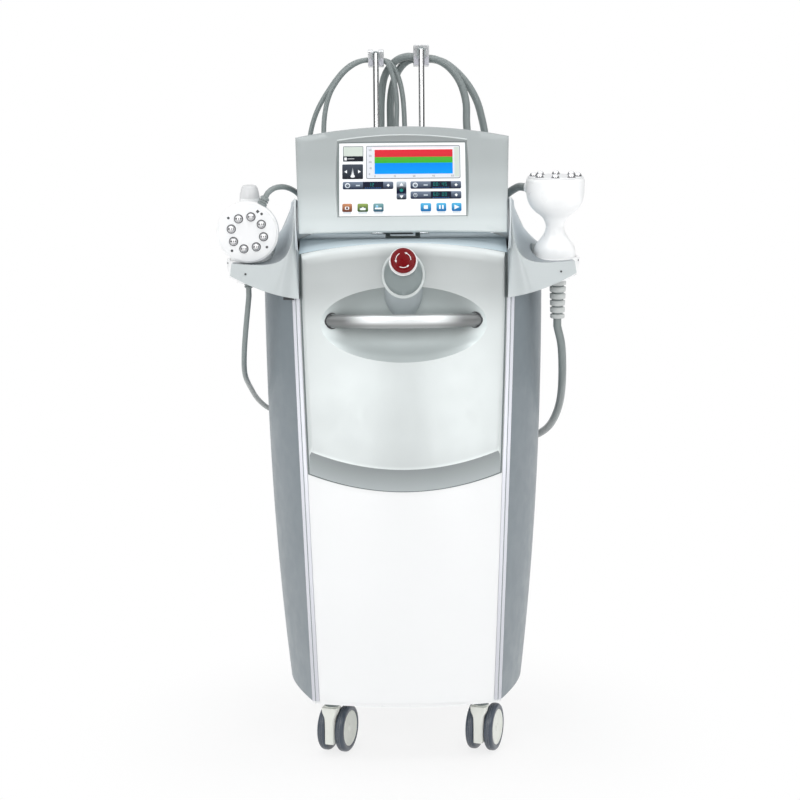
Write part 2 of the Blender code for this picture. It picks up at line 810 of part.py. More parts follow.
def build_caster(name, place):
    """A twin wheel swivel caster: fork, wheelset and two tyres."""
    pivot = add_pivot(name + "_caster", (*place, 0), (0, 0, CASTER_REST_ANGLE))
    collar_top = CASTER_HEIGHT
    stem_top = CASTER_HEIGHT + STEM_LENGTH
    groove = COLLAR_RADIUS - COLLAR_GROOVE
    collar = lathe([
        (0, COLLAR_BOTTOM), (FORK_WIDTH / 2, COLLAR_BOTTOM),
        (COLLAR_RADIUS, mix(COLLAR_BOTTOM, collar_top, 0.3)),
        (COLLAR_RADIUS, mix(COLLAR_BOTTOM, collar_top, 0.7)), (groove, mix(COLLAR_BOTTOM, collar_top, 0.75)),
        (groove, collar_top), (STEM_RADIUS, collar_top), (STEM_RADIUS, stem_top), (0, stem_top),
    ], SMALL_FACETS)
    fork = add_object(name + "_fork", fork_plate(), HUB, pivot)
    combine(fork, add_tool(name + "_collar", collar, pivot), "UNION")
    bore = round_clear(AXLE_RADIUS + GAP, SMALL_FACETS)
    axle_cut = rod((-FORK_WIDTH, CASTER_TRAIL, WHEEL_RADIUS), (FORK_WIDTH, CASTER_TRAIL, WHEEL_RADIUS),
                   bore, SMALL_FACETS)
    combine(fork, add_tool(name + "_axle_bore", axle_cut, pivot), "DIFFERENCE")

    hub = WHEEL_RADIUS - TYRE_DEPTH - GAP
    inside = FORK_WIDTH / 2 + RUNNING_GAP
    outside = inside + TREAD_WIDTH
    half_profile = [(0, outside - HUB_DISH), (hub * 0.8, outside - HUB_DISH), (hub * 0.88, outside),
                    (hub, outside), (hub, inside), (AXLE_RADIUS, inside)]
    profile = half_profile + [(radius, -along) for radius, along in reversed(half_profile)]
    turn = Matrix.Translation((0, CASTER_TRAIL, WHEEL_RADIUS)) @ Matrix.Rotation(math.pi / 2, 4, "Y")
    wheelset = lathe(profile, WHEEL_FACETS)
    bmesh.ops.transform(wheelset, matrix=turn, verts=wheelset.verts)
    add_object(name + "_wheelset", wheelset, HUB, pivot)

    for label, sign in (("inner_tyre", -1), ("outer_tyre", 1)):
        low = hub + GAP
        ring = [(low, inside), (WHEEL_RADIUS - TYRE_ROUND, inside), (WHEEL_RADIUS, inside + TYRE_ROUND),
                (WHEEL_RADIUS, outside - TYRE_ROUND), (WHEEL_RADIUS - TYRE_ROUND, outside), (low, outside)]
        tyre = lathe([(radius, sign * along) for radius, along in ring], WHEEL_FACETS, closed=True)
        bmesh.ops.transform(tyre, matrix=turn, verts=tyre.verts)
        add_object(name + "_" + label, tyre, TYRE, pivot)


def deck_edge_z(x):
    """The arched line where the deck meets the cover's top edge."""
    return COVER_TOP_CORNER + COVER_TOP_RISE * (1 - min((x / ARM_INNER) ** 2, 1))


def socket_places():
    """The four line sockets on the deck: place and radius."""
    return {
        "left_hose": (*LEFT_HOSE_SOCKET, SOCKET_RADIUS),
        "left_cable": (*LEFT_CABLE_SOCKET, SOCKET_RADIUS),
        "right_hose": (*RIGHT_HOSE_SOCKET, WIDE_SOCKET_RADIUS),
        "right_cable": (*RIGHT_CABLE_SOCKET, WIDE_SOCKET_RADIUS),
    }


def build_deck():
    """The deck behind the cover, ramped up under the display, with the line sockets."""
    outer = []
    inner = []
    half = ARM_INNER - GAP
    for share in DECK_ROW_SHARES:
        outer_row = []
        inner_row = []
        for x in spread(-half, half, 9):
            start = front_y(x)
            y = mix(start, REAR_REACH, share)
            z = mix(deck_edge_z(x), DECK_TOP, ease((y - start) / DECK_RAMP))
            outer_row.append((x, y, z))
            inner_row.append((x, y, z - WALL))
        outer.append(outer_row)
        inner.append(inner_row)
    deck = add_object("top_deck", shell(outer, inner), SILVER)
    for name, (x, y, radius) in socket_places().items():
        top = DECK_TOP + SOCKET_HEIGHT
        boss = lathe([(0, DECK_TOP - WALL / 2), (radius, DECK_TOP - WALL / 2), (radius, top), (0, top)],
                     SMALL_FACETS)
        bmesh.ops.translate(boss, vec=(x, y, 0), verts=boss.verts)
        combine(deck, add_tool(name + "_socket", boss), "UNION")
    return deck


def arm_stations():
    """Depths along an arm with the tip's reach and how far the tray has turned into a shoulder."""
    tray = [(y, ARM_TIP_X, 0) for y in spread(ARM_FRONT_Y, ARM_TRAY_BACK_Y, 5)]
    tray.append((ARM_TRAY_BACK_Y + ARM_TIP_ROUND * 0.4, mix(ARM_TIP_X, SIDE_TOP, 0.4), 0))
    shoulder = [point for point in side_plan(TAPER_TOP) if point[1] > -GAP]
    shoulder[0] = (shoulder[0][0], ARM_TRAY_BACK_Y + ARM_TIP_ROUND)
    return tray + [(y, x, 1) for x, y in shoulder]


def tray_curve(start, crest, power_share, dip):
    """A hollow curve from an arm's tip along the tray and up the cheek, the tighter the lower its power."""
    path = []
    for share in spread(0, 1, 9):
        angle = share * math.pi / 2
        out = math.cos(angle) ** (2 / power_share)
        up = math.sin(angle) ** (2 / power_share)
        floor = start[1] - dip * (1 - out)
        path.append((mix(crest[0], start[0], out), mix(floor, crest[1], up)))
    return path


def shoulder_curve(start, crest):
    """A rounded curve from the side panel's top edge up to the cheek's top."""
    leave = (start[0] - SHOULDER_LEAN, mix(start[1], crest[1], 0.3))
    arrive = (mix(start[0], crest[0], 0.65), mix(start[1], crest[1], 0.6))
    return [cubic(start, leave, arrive, crest, share) for share in spread(0, 1, 9)]


def arm_section(y, tip, shoulder):
    """The top path and the under path of an arm at one depth, as (x, z) pairs."""
    back = ease((y - ARM_FRONT_Y) / (ARM_TRAY_BACK_Y - ARM_FRONT_Y))
    rear = max(y, 0) / REAR_REACH
    tip_bottom = arm_underside(tip)
    if shoulder:
        start = (tip, tip_bottom + SHOULDER_LIP)
        crest = (mix(CHEEK_INNER + CHEEK_BACK_THICKNESS, CHEEK_INNER + CHEEK_THICKNESS, rear),
                 mix(CHEEK_TOP_Z - CHEEK_BACK_DROP, SHOULDER_REAR_Z, rear))
        top = shoulder_curve(start, crest)
    else:
        start = (tip - ARM_TIP_INSET, tip_bottom + mix(ARM_TIP_HEIGHT, ARM_TRAY_HEIGHT, back))
        crest = (CHEEK_INNER + mix(CHEEK_THICKNESS, CHEEK_BACK_THICKNESS, back),
                 CHEEK_TOP_Z - CHEEK_BACK_DROP * back)
        power = mix(ARM_FRONT_CURVE_SHARE, ARM_BACK_CURVE_SHARE, back)
        top = tray_curve(start, crest, power, ARM_TRAY_DIP * (1 - back))
    under = [(x, arm_underside(x)) for x in spread(tip, ARM_INNER, 5)]
    under += [(ARM_INNER, CHEEK_NOTCH_Z), (CHEEK_INNER, CHEEK_NOTCH_Z + CHEEK_GAP)]
    under += [(CHEEK_INNER, mix(CHEEK_NOTCH_Z + CHEEK_GAP, crest[1], share)) for share in (0.5, 0.98)]
    return top, under


def build_arm(name, side):
    """An arm: a tray that carries a cup, a cheek beside the display and the shoulder behind it."""
    outer = []
    inner = []
    for y, tip, shoulder in arm_stations():
        top, under = arm_section(y, tip, shoulder)
        front_share = max(1 - (y - ARM_FRONT_Y) / (ARM_TRAY_BACK_Y - ARM_FRONT_Y), 0)
        rows = []
        for path in (top, under):
            row = []
            for x, z in path:
                reach = max((x - ARM_INNER) / (ARM_TIP_X - ARM_INNER), 0)
                lean = max((z - CHEEK_NOTCH_Z) / (CHEEK_TOP_Z - CHEEK_NOTCH_Z), 0)
                back = (ARM_SWEEP * reach ** 2 + ARM_LEAN * lean) * front_share
                row.append((side * x, y + back, z))
            rows.append(row)
        outer.append(rows[0])
        inner.append(rows[1])
    arm = add_object(name, shell(outer, inner), SILVER)
    high = CUP_DEPTH * 2
    rim = CUP_RADIUS + GAP
    foot = CUP_FOOT_RADIUS + GAP
    cut = lathe([(0, -high), (foot, -high), (foot, -CUP_DEPTH), (rim, -CUP_COLLAR), (rim, high), (0, high)],
                ROUND_FACETS)
    tool = add_tool(name + "_cup_cut", cut)
    tool.location = (side * HOLDER_X, HOLDER_Y, HOLDER_Z)
    tool.rotation_euler = (HOLDER_TILT, 0, 0)
    combine(arm, tool, "DIFFERENCE")
    return arm


def build_cup_ring(name, holder):
    """The white cup that a handpiece stands in, open below for its cable."""
    neck = -CUP_NECK_DROP
    floor = -GAP
    profile = [
        (CUP_HOLE_RADIUS, floor), (CUP_HOLE_RADIUS, neck), (CUP_NECK_RADIUS, neck),
        (CUP_NECK_RADIUS, -CUP_DEPTH), (CUP_FOOT_RADIUS, -CUP_DEPTH), (CUP_RADIUS, -CUP_COLLAR),
        (CUP_RADIUS, CUP_RIM), (CUP_DISH_RADIUS, CUP_RIM), (CUP_DISH_RADIUS, floor),
    ]
    return add_object(name, lathe(profile, ROUND_FACETS, closed=True), WHITE, holder)


def grip_profile(height, top):
    """The lower half that both handpieces share: spigot, foot and waist, with a given top."""
    base = GRIP_BASE_RADIUS
    waist = GRIP_WAIST_RADIUS
    grip_shares = ((0.02, 1.0), (0.11, 1.0), (0.175, 0.85), (0.25, 0.45), (0.32, 0.14), (0.39, 0.0))
    profile = [(0, -SPIGOT_LENGTH), (SPIGOT_RADIUS, -SPIGOT_LENGTH), (SPIGOT_RADIUS, 0), (base * 0.93, 0)]
    for level, share in grip_shares:
        profile.append((mix(waist, base, share), height * level))
    return profile + top


def build_right_shell(holder):
    """The goblet handpiece, with the socket for its hose on the head."""
    head = GOBLET_HEAD_RADIUS
    waist = GRIP_WAIST_RADIUS
    height = GOBLET_HEIGHT
    recess = RIGHT_DOME_CIRCLE + CARRIER_HALF_WIDTH + GAP
    inner = RIGHT_DOME_CIRCLE - CARRIER_HALF_WIDTH - GAP
    top = []
    head_shares = ((0.45, 0.04), (0.52, 0.20), (0.59, 0.56), (0.67, 0.82), (0.78, 0.97), (0.95, 1.0))
    for level, share in head_shares:
        top.append((mix(waist, head, share), height * level))
    top += [(head - FACE_MARGIN, height), (recess, height), (recess, height - FACE_RECESS_DEPTH),
            (inner, height - FACE_RECESS_DEPTH), (inner, height), (0, height)]
    body = add_object("right_handpiece_shell", lathe(grip_profile(height, top), ROUND_FACETS), WHITE, holder)
    aim = Vector((math.cos(HOSE_BOSS_ANGLE), math.sin(HOSE_BOSS_ANGLE), 0))
    level = Vector((0, 0, HOSE_BOSS_Z))
    boss = rod(level + aim * head * 0.8, level + aim * HOSE_BOSS_REACH, HOSE_BOSS_RADIUS, SMALL_FACETS)
    combine(body, add_tool("right_hose_boss", boss, holder), "UNION")
    return body


def build_left_shell(holder, face):
    """The upright grip with a round head that faces the user."""
    top = [(mix(GRIP_WAIST_RADIUS, GRIP_STUB_RADIUS, 0.5), GRIP_HEIGHT * 0.55),
           (GRIP_STUB_RADIUS, GRIP_HEIGHT * 0.70), (GRIP_STUB_RADIUS * 0.95, GRIP_HEIGHT * 0.86),
           (GRIP_TOP_RADIUS, GRIP_HEIGHT * 0.98), (GRIP_TOP_RADIUS * 0.85, GRIP_HEIGHT), (0, GRIP_HEIGHT)]
    grip = lathe(grip_profile(GRIP_HEIGHT, top), ROUND_FACETS)
    body = add_object("left_handpiece_shell", grip, WHITE, holder)
    recess = LEFT_DOME_CIRCLE + CARRIER_HALF_WIDTH + GAP
    inner = LEFT_DOME_CIRCLE - CARRIER_HALF_WIDTH - GAP
    head = [(0, -HEAD_DEPTH), (HEAD_RADIUS * 0.45, -HEAD_DEPTH), (HEAD_RADIUS * 0.66, -HEAD_DEPTH * 0.75),
            (HEAD_RADIUS * 0.93, -HEAD_RIM_DEPTH - FACE_MARGIN), (HEAD_RADIUS, -HEAD_RIM_DEPTH),
            (HEAD_RADIUS, -FACE_MARGIN), (HEAD_RADIUS - FACE_MARGIN, 0), (recess, 0),
            (recess, -FACE_RECESS_DEPTH), (inner, -FACE_RECESS_DEPTH), (inner, 0), (0, 0)]
    tool = add_tool("left_head", lathe(head, ROUND_FACETS), face)
    combine(body, tool, "UNION")
    return body


def dome_places(circle, start):
    """The centres of the electrode domes on their circle."""
    return [(circle * math.cos(start + math.tau * i / DOME_COUNT),
             circle * math.sin(start + math.tau * i / DOME_COUNT)) for i in range(DOME_COUNT)]


def build_electrodes(side_name, circle, start, head_radius, face):
    """The carrier ring with its domes, and the face plate that they stand through."""
    floor = GAP - FACE_RECESS_DEPTH
    top = floor + CARRIER_THICKNESS
    plate_low = GAP
    plate_high = plate_low + FACE_PLATE_THICKNESS
    ring = [(circle - CARRIER_HALF_WIDTH, floor), (circle + CARRIER_HALF_WIDTH, floor),
            (circle + CARRIER_HALF_WIDTH, top), (circle - CARRIER_HALF_WIDTH, top)]
    carrier = add_object(side_name + "_electrode_ring", lathe(ring, ROUND_FACETS, closed=True), CHROME, face)
    domes = bmesh.new()
    holes = bmesh.new()
    for x, y in dome_places(circle, start):
        profile = [(0, mix(floor, top, 0.5)), (DOME_RADIUS, mix(floor, top, 0.5)), (DOME_RADIUS, plate_high)]
        turn = DOME_TURN
        profile.append((DOME_RADIUS * math.cos(turn), plate_high + DOME_HEIGHT * math.sin(turn)))
        profile.append((0, plate_high + DOME_HEIGHT))
        dome = lathe(profile, DOME_FACETS)
        bmesh.ops.translate(dome, vec=(x, y, 0), verts=dome.verts)
        append(domes, dome)
        reach = DOME_RADIUS + GAP
        hole = lathe([(0, plate_low - OVERRUN), (reach, plate_low - OVERRUN), (reach, plate_high + OVERRUN),
                      (0, plate_high + OVERRUN)], DOME_FACETS)
        bmesh.ops.translate(hole, vec=(x, y, 0), verts=hole.verts)
        append(holes, hole)
    combine(carrier, add_tool(side_name + "_domes", domes, face), "UNION")
    edge = head_radius - FACE_MARGIN - GAP
    plate_profile = [(0, plate_low), (edge, plate_low), (edge, mix(plate_low, plate_high, 0.5)),
                     (edge - FACE_PLATE_THICKNESS / 2, plate_high), (0, plate_high)]
    plate = add_object(side_name + "_face_plate", lathe(plate_profile, ROUND_FACETS), WHITE, face)
    combine(plate, add_tool(side_name + "_plate_holes", holes, face), "DIFFERENCE")


def ribbed_profile(start_radius, end_radius, length, ribs, groove):
    """A tapering profile with rings, hung from height zero down, listed from its bottom up."""
    profile = [(0, -length)]
    for i in range(ribs * 2 + 2):
        share = 1 - i / (ribs * 2 + 1)
        radius = mix(start_radius, end_radius, share) - (groove if i % 2 and i < ribs * 2 + 1 else 0)
        profile.append((radius, -length * share))
    profile.append((0, 0))
    return profile


def build_reliefs(left_holder, right_holder):
    """The cable reliefs under both cups."""
    top = -SPIGOT_LENGTH - GAP
    left = lathe(ribbed_profile(LEFT_RELIEF_RADIUS, LINE_RADIUS + WALL / 4, LEFT_RELIEF_LENGTH, 2,
                                RELIEF_GROOVE / 4), SMALL_FACETS)
    right = lathe(ribbed_profile(RIGHT_RELIEF_RADIUS, RIGHT_RELIEF_END_RADIUS, RIGHT_RELIEF_LENGTH,
                                 RIGHT_RELIEF_RIBS, RELIEF_GROOVE), SMALL_FACETS)
    bmesh.ops.translate(left, vec=(-RELIEF_SHIFT, 0, top), verts=left.verts)
    bmesh.ops.translate(right, vec=(RELIEF_SHIFT, 0, top), verts=right.verts)
    add_object("left_cable_relief", left, LINE, left_holder)
    add_object("right_cable_relief", right, RELIEF, right_holder)


def build_left_gland(face):
    """The ribbed gland where the hose leaves the left head's rim."""
    radius = GLAND_RADIUS
    length = GLAND_LENGTH
    profile = [(0, 0), (radius, 0), (radius, length * 0.3), (radius * 0.8, length * 0.35),
               (radius * 0.8, length * 0.45), (radius * 0.95, length * 0.5), (radius * 0.95, length * 0.8),
               (radius * 0.8, length), (0, length)]
    gland = lathe(profile, SMALL_FACETS)
    turn = Matrix.Rotation(GLAND_ANGLE, 4, "Z") @ Matrix.Rotation(math.pi / 2, 4, "Y")
    start = Vector((math.cos(GLAND_ANGLE), math.sin(GLAND_ANGLE), 0)) * (HEAD_RADIUS + GAP)
    start.z = -mix(FACE_MARGIN, HEAD_RIM_DEPTH, 0.5)
    bmesh.ops.transform(gland, matrix=Matrix.Translation(start) @ turn, verts=gland.verts)
    return add_object("left_hose_gland", gland, LINE, face)


def display_outline(inset, crown, depth, foot):
    """A ring round the display's front at a depth, drawn in by an inset."""
    across = RING_POINTS * 3 // 10
    upright = RING_POINTS // 2 - across
    low = DISPLAY_BOTTOM + inset + foot
    high = DISPLAY_CORNER - inset
    low_half = DISPLAY_BOTTOM_HALF - inset
    high_half = DISPLAY_TOP_HALF - inset
    flat = []
    for i in range(across):
        flat.append((low_half * (2 * i / across - 1), low))
    for i in range(upright):
        flat.append((mix(low_half, high_half, i / upright), mix(low, high, i / upright)))
    for i in range(across):
        share = 1 - 2 * i / across
        flat.append((high_half * share, high + DISPLAY_ARCH * (1 - share ** 2)))
    for i in range(upright):
        flat.append((-mix(high_half, low_half, i / upright), mix(high, low, i / upright)))
    return [(x, depth - crown * (1 - (x / DISPLAY_TOP_HALF) ** 2), z) for x, z in flat]


def pocket_outline(margin, depth, arch, crown):
    """A ring round the screen pocket, its top arched, at a depth."""
    across = RING_POINTS * 3 // 10
    upright = RING_POINTS // 2 - across
    half = SCREEN_HALF_WIDTH + margin
    low = SCREEN_BOTTOM - margin
    high = SCREEN_TOP + margin
    flat = []
    for i in range(across):
        flat.append((half * (2 * i / across - 1), low))
    for i in range(upright):
        share = i / upright
        flat.append((half + POCKET_BULGE * 4 * share * (1 - share), mix(low, high, share)))
    for i in range(across):
        share = 1 - 2 * i / across
        flat.append((half * share, high + arch * (1 - share ** 2)))
    for i in range(upright):
        share = i / upright
        flat.append((-half - POCKET_BULGE * 4 * share * (1 - share), mix(high, low, share)))
    return [(x, depth - crown * (1 - (x / DISPLAY_TOP_HALF) ** 2), z) for x, z in flat]


def build_display(pivot):
    """The tilting display: front shell with its pocket, rear cover and touch screen."""
    foot = DISPLAY_FOOT_LIFT
    rings = [
        pocket_outline(GAP, POCKET_FLOOR, 0, 0),
        pocket_outline(GAP, DISPLAY_FRONT + POCKET_LEDGE, 0, 0),
        pocket_outline(POCKET_MARGIN, DISPLAY_FRONT, POCKET_ARCH, DISPLAY_CROWN),
        display_outline(DISPLAY_ROUND, DISPLAY_CROWN, DISPLAY_FRONT, 0),
        display_outline(0, 0, DISPLAY_FRONT + DISPLAY_ROUND, 0),
        display_outline(0, 0, DISPLAY_SPLIT, foot),
    ]
    add_object("display_front_shell", loft(rings), SILVER, pivot)
    start = DISPLAY_SPLIT + GAP
    mid = mix(DISPLAY_SPLIT, DISPLAY_REAR, 0.45)
    rear_foot = foot + DISPLAY_REAR_INSET
    cover_rings = [
        display_outline(0, 0, start, foot),
        display_outline(DISPLAY_ROUND * 2, 0, mid, rear_foot * 0.8),
        display_outline(DISPLAY_REAR_INSET, 0, DISPLAY_REAR, rear_foot * 0.4),
    ]
    cover = add_object("display_back_cover", loft(cover_rings), BLUE_GREY, pivot)
    lug = bmesh.new()
    add_box(lug, (-KNUCKLE_HALF, DISPLAY_SPLIT + WALL, -KNUCKLE_RADIUS),
            (KNUCKLE_HALF, 0, KNUCKLE_RADIUS * 3))
    combine(cover, add_tool("display_lug", lug, pivot), "UNION")
    barrel = rod((-KNUCKLE_HALF, 0, 0), (KNUCKLE_HALF, 0, 0), KNUCKLE_RADIUS, SMALL_FACETS)
    combine(cover, add_tool("display_knuckle", barrel, pivot), "UNION")
    bore = rod((-KNUCKLE_HALF - OVERRUN, 0, 0), (KNUCKLE_HALF + OVERRUN, 0, 0),
               HINGE_PIN_RADIUS + GAP * 2, SMALL_FACETS)
    combine(cover, add_tool("display_bore", bore, pivot), "DIFFERENCE")
    front = POCKET_FLOOR - GAP - SCREEN_THICKNESS
    screen = boxes(((-SCREEN_HALF_WIDTH, front, SCREEN_BOTTOM),
                    (SCREEN_HALF_WIDTH, POCKET_FLOOR - GAP, SCREEN_TOP)))
    add_object("touch_screen", screen, GLASS, pivot)


def build_display_hinge():
    """The bracket on the deck with two ears and the pin that the display turns on."""
    inside = KNUCKLE_HALF + RUNNING_GAP
    outside = inside + EAR_WIDTH
    low = DECK_TOP + GAP
    high = PIVOT_Z + EAR_HALF_DEPTH
    depth = EAR_HALF_DEPTH
    base_top = low + HINGE_BASE_THICKNESS
    base = boxes(((-outside, PIVOT_Y - depth, low), (outside, PIVOT_Y + depth * 2, base_top)))
    bracket = add_object("display_hinge", base, DARK)
    ears = boxes(
        ((-outside, PIVOT_Y - depth, low + HINGE_BASE_THICKNESS / 2), (-inside, PIVOT_Y + depth, high)),
        ((inside, PIVOT_Y - depth, low + HINGE_BASE_THICKNESS / 2), (outside, PIVOT_Y + depth, high)))
    combine(bracket, add_tool("hinge_ears", ears), "UNION")
    half = outside - EAR_WIDTH / 4
    pin = rod((-half, PIVOT_Y, PIVOT_Z), (half, PIVOT_Y, PIVOT_Z), HINGE_PIN_RADIUS, SMALL_FACETS)
    combine(bracket, add_tool("hinge_pin", pin), "UNION")
    return bracket


def build_handle():
    """The fixed push handle whose ends stand in slots of the recess."""
    return add_object("push_handle", handle_bar(0, 0), SILVER)


def build_estop(pivot):
    """The stop button: horn with its flat ring, stem and mushroom head."""
    top_ring = []
    for i in range(ROUND_FACETS):
        angle = math.tau * i / ROUND_FACETS - math.pi / 2
        local = Vector((HORN_TOP_RADIUS * math.cos(angle), HORN_TOP_RADIUS * math.sin(angle), 0))
        top_ring.append(Vector((0, HORN_TOP_Y, HORN_TOP_Z))
                        + Matrix.Rotation(math.pi / 2 - ESTOP_LIFT, 3, "X") @ local)
    base_y = HORN_BASE_Y - GAP
    wide = HORN_BASE_HALF_WIDTH
    tall = HORN_BASE_HALF_HEIGHT
    waist = ellipse_ring(mix(HORN_BASE_Z, HORN_TOP_Z, 0.45), mix(wide, HORN_TOP_RADIUS, 0.55),
                         mix(tall, HORN_TOP_RADIUS, 0.55), mix(base_y, HORN_TOP_Y, 0.55), ROUND_FACETS)
    rings = [
        ellipse_ring(HORN_BASE_Z, wide, tall, base_y, ROUND_FACETS),
        ellipse_ring(HORN_BASE_Z, wide, tall, base_y - WALL / 2, ROUND_FACETS),
        waist,
        top_ring,
    ]
    housing = add_object("estop_housing", loft(rings), SILVER)
    bore_radius = ESTOP_STEM_RADIUS + GAP
    high = ESTOP_RING_THICKNESS
    ring = lathe([(0, -high), (ESTOP_RING_RADIUS - high, -high), (ESTOP_RING_RADIUS, high * 0.2),
                  (ESTOP_RING_RADIUS - high * 0.4, high), (0, high)], ROUND_FACETS)
    combine(housing, add_tool("estop_ring", ring, pivot), "UNION")
    floor = -ESTOP_STEM_DEPTH - ESTOP_TRAVEL - GAP
    bore = lathe([(0, floor), (bore_radius, floor), (bore_radius, OVERRUN), (0, OVERRUN)], SMALL_FACETS)
    combine(housing, add_tool("estop_bore", bore, pivot), "DIFFERENCE")
    under = high + ESTOP_TRAVEL + RUNNING_GAP
    socket = ESTOP_STEM_RADIUS * 0.7
    stem_top = under + ESTOP_SOCKET_DEPTH - GAP
    stem = [(0, -ESTOP_STEM_DEPTH), (ESTOP_STEM_RADIUS, -ESTOP_STEM_DEPTH), (ESTOP_STEM_RADIUS, under - GAP),
            (socket, under - GAP), (socket, stem_top), (0, stem_top)]
    add_object("estop_stem", lathe(stem, SMALL_FACETS), STEEL, pivot)
    radius = ESTOP_BUTTON_RADIUS
    top = under + ESTOP_BUTTON_HEIGHT
    seat = under + ESTOP_SOCKET_DEPTH
    height = ESTOP_BUTTON_HEIGHT
    button = [(0, seat), (socket + GAP, seat), (socket + GAP, under), (radius * 0.7, under),
              (radius * 0.92, under + height * 0.2), (radius, under + height * 0.5),
              (radius * 0.96, under + height * 0.75), (radius * 0.8, under + height * 0.93),
              (radius * 0.4, top), (0, top)]
    add_object("estop_button", lathe(button, ROUND_FACETS), RED, pivot)


def build_pole(name, x, clip_top, clip_height):
    """A chrome pole on its flange, with the closed clip that its lines run through."""
    bottom = DECK_TOP + GAP
    clip_bottom = clip_top - clip_height
    top = mix(clip_bottom, clip_top, 0.8)
    flange_top = bottom + POLE_FLANGE_HEIGHT
    pole = lathe([(0, bottom), (POLE_FLANGE_RADIUS, bottom), (POLE_FLANGE_RADIUS, flange_top),
                  (POLE_RADIUS, flange_top), (POLE_RADIUS, top), (0, top)], SMALL_FACETS)
    bmesh.ops.translate(pole, vec=(x, POLE_Y, 0), verts=pole.verts)
    item = add_object(name, pole, CHROME)
    front = POLE_Y + POLE_RADIUS / 2
    outer = clip_ring(front, front + CLIP_DEPTH, clip_bottom, clip_top, 0)
    inner = clip_ring(front, front + CLIP_DEPTH, clip_bottom, clip_top, CLIP_BAND)
    low = x - CLIP_WIDTH / 2
    high = x + CLIP_WIDTH / 2
    rings = [[(low, y, z) for y, z in outer], [(high, y, z) for y, z in outer],
             [(high, y, z) for y, z in inner], [(low, y, z) for y, z in inner]]
    combine(item, add_tool(name + "_clip", loft(rings, wrap=True)), "UNION")
    return item


def clip_ring(front, back, bottom, top, inset):
    """A rounded rectangle of a clip in the YZ plane."""
    corner = CLIP_BAND * 2 - inset
    points = []
    for y, z, start in ((back - inset - corner, bottom + inset + corner, -90),
                        (back - inset - corner, top - inset - corner, 0),
                        (front + inset + corner, top - inset - corner, 90),
                        (front + inset + corner, bottom + inset + corner, 180)):
        for step in (0, 45, 90):
            angle = math.radians(start + step)
            points.append((y + corner * math.cos(angle), z + corner * math.sin(angle)))
    return points


def rear_half(z):
    """The rear panel's half width at a height, narrowed between the shoulders."""
    lower = side_reach(z) - REAR_DRAW
    share = min(max((z - ARM_ROOT_Z) / (SHOULDER_REAR_Z - ARM_ROOT_Z), 0), 1)
    return mix(lower, CHEEK_INNER, share)


def build_rear_panel():
    """The flat rear panel with its vents, fan grille and mains cut-out."""
    outer = []
    inner = []
    near = REAR_REACH + GAP
    for z in spread(PANEL_BOTTOM, ARM_ROOT_Z, PANEL_LEVELS) + [DECK_TOP]:
        row = [(x, near + WALL, z) for x in spread(-rear_half(z), rear_half(z), 3)]
        outer.append(row)
        inner.append([(x, near, level) for x, _, level in row])
    panel = add_object("rear_panel", shell(outer, inner), BLUE_GREY)
    low = near - OVERRUN
    high = near + WALL + OVERRUN
    openings = []
    for i in range(VENT_COUNT):
        z = VENT_Z + VENT_PITCH * (i - (VENT_COUNT - 1) / 2)
        half = VENT_HEIGHT / 2
        openings.append(((-VENT_HALF_WIDTH, low, z - half), (VENT_HALF_WIDTH, high, z + half)))
    pitch = GRILLE_RADIUS * 2 / GRILLE_SLOTS
    for i in range(GRILLE_SLOTS):
        x = pitch * (i - (GRILLE_SLOTS - 1) / 2)
        half = math.sqrt(GRILLE_RADIUS ** 2 - x ** 2)
        slot = pitch * 0.3
        openings.append(((FAN_X + x - slot, low, FAN_Z - half), (FAN_X + x + slot, high, FAN_Z + half)))
    openings.append(((INLET_X - INLET_HALF_WIDTH - GAP, low, INLET_Z - INLET_HALF_HEIGHT - GAP),
                     (INLET_X + INLET_HALF_WIDTH + GAP, high, INLET_Z + INLET_HALF_HEIGHT + GAP)))
    combine(panel, add_tool("rear_panel_openings", boxes(*openings)), "DIFFERENCE")
    return panel


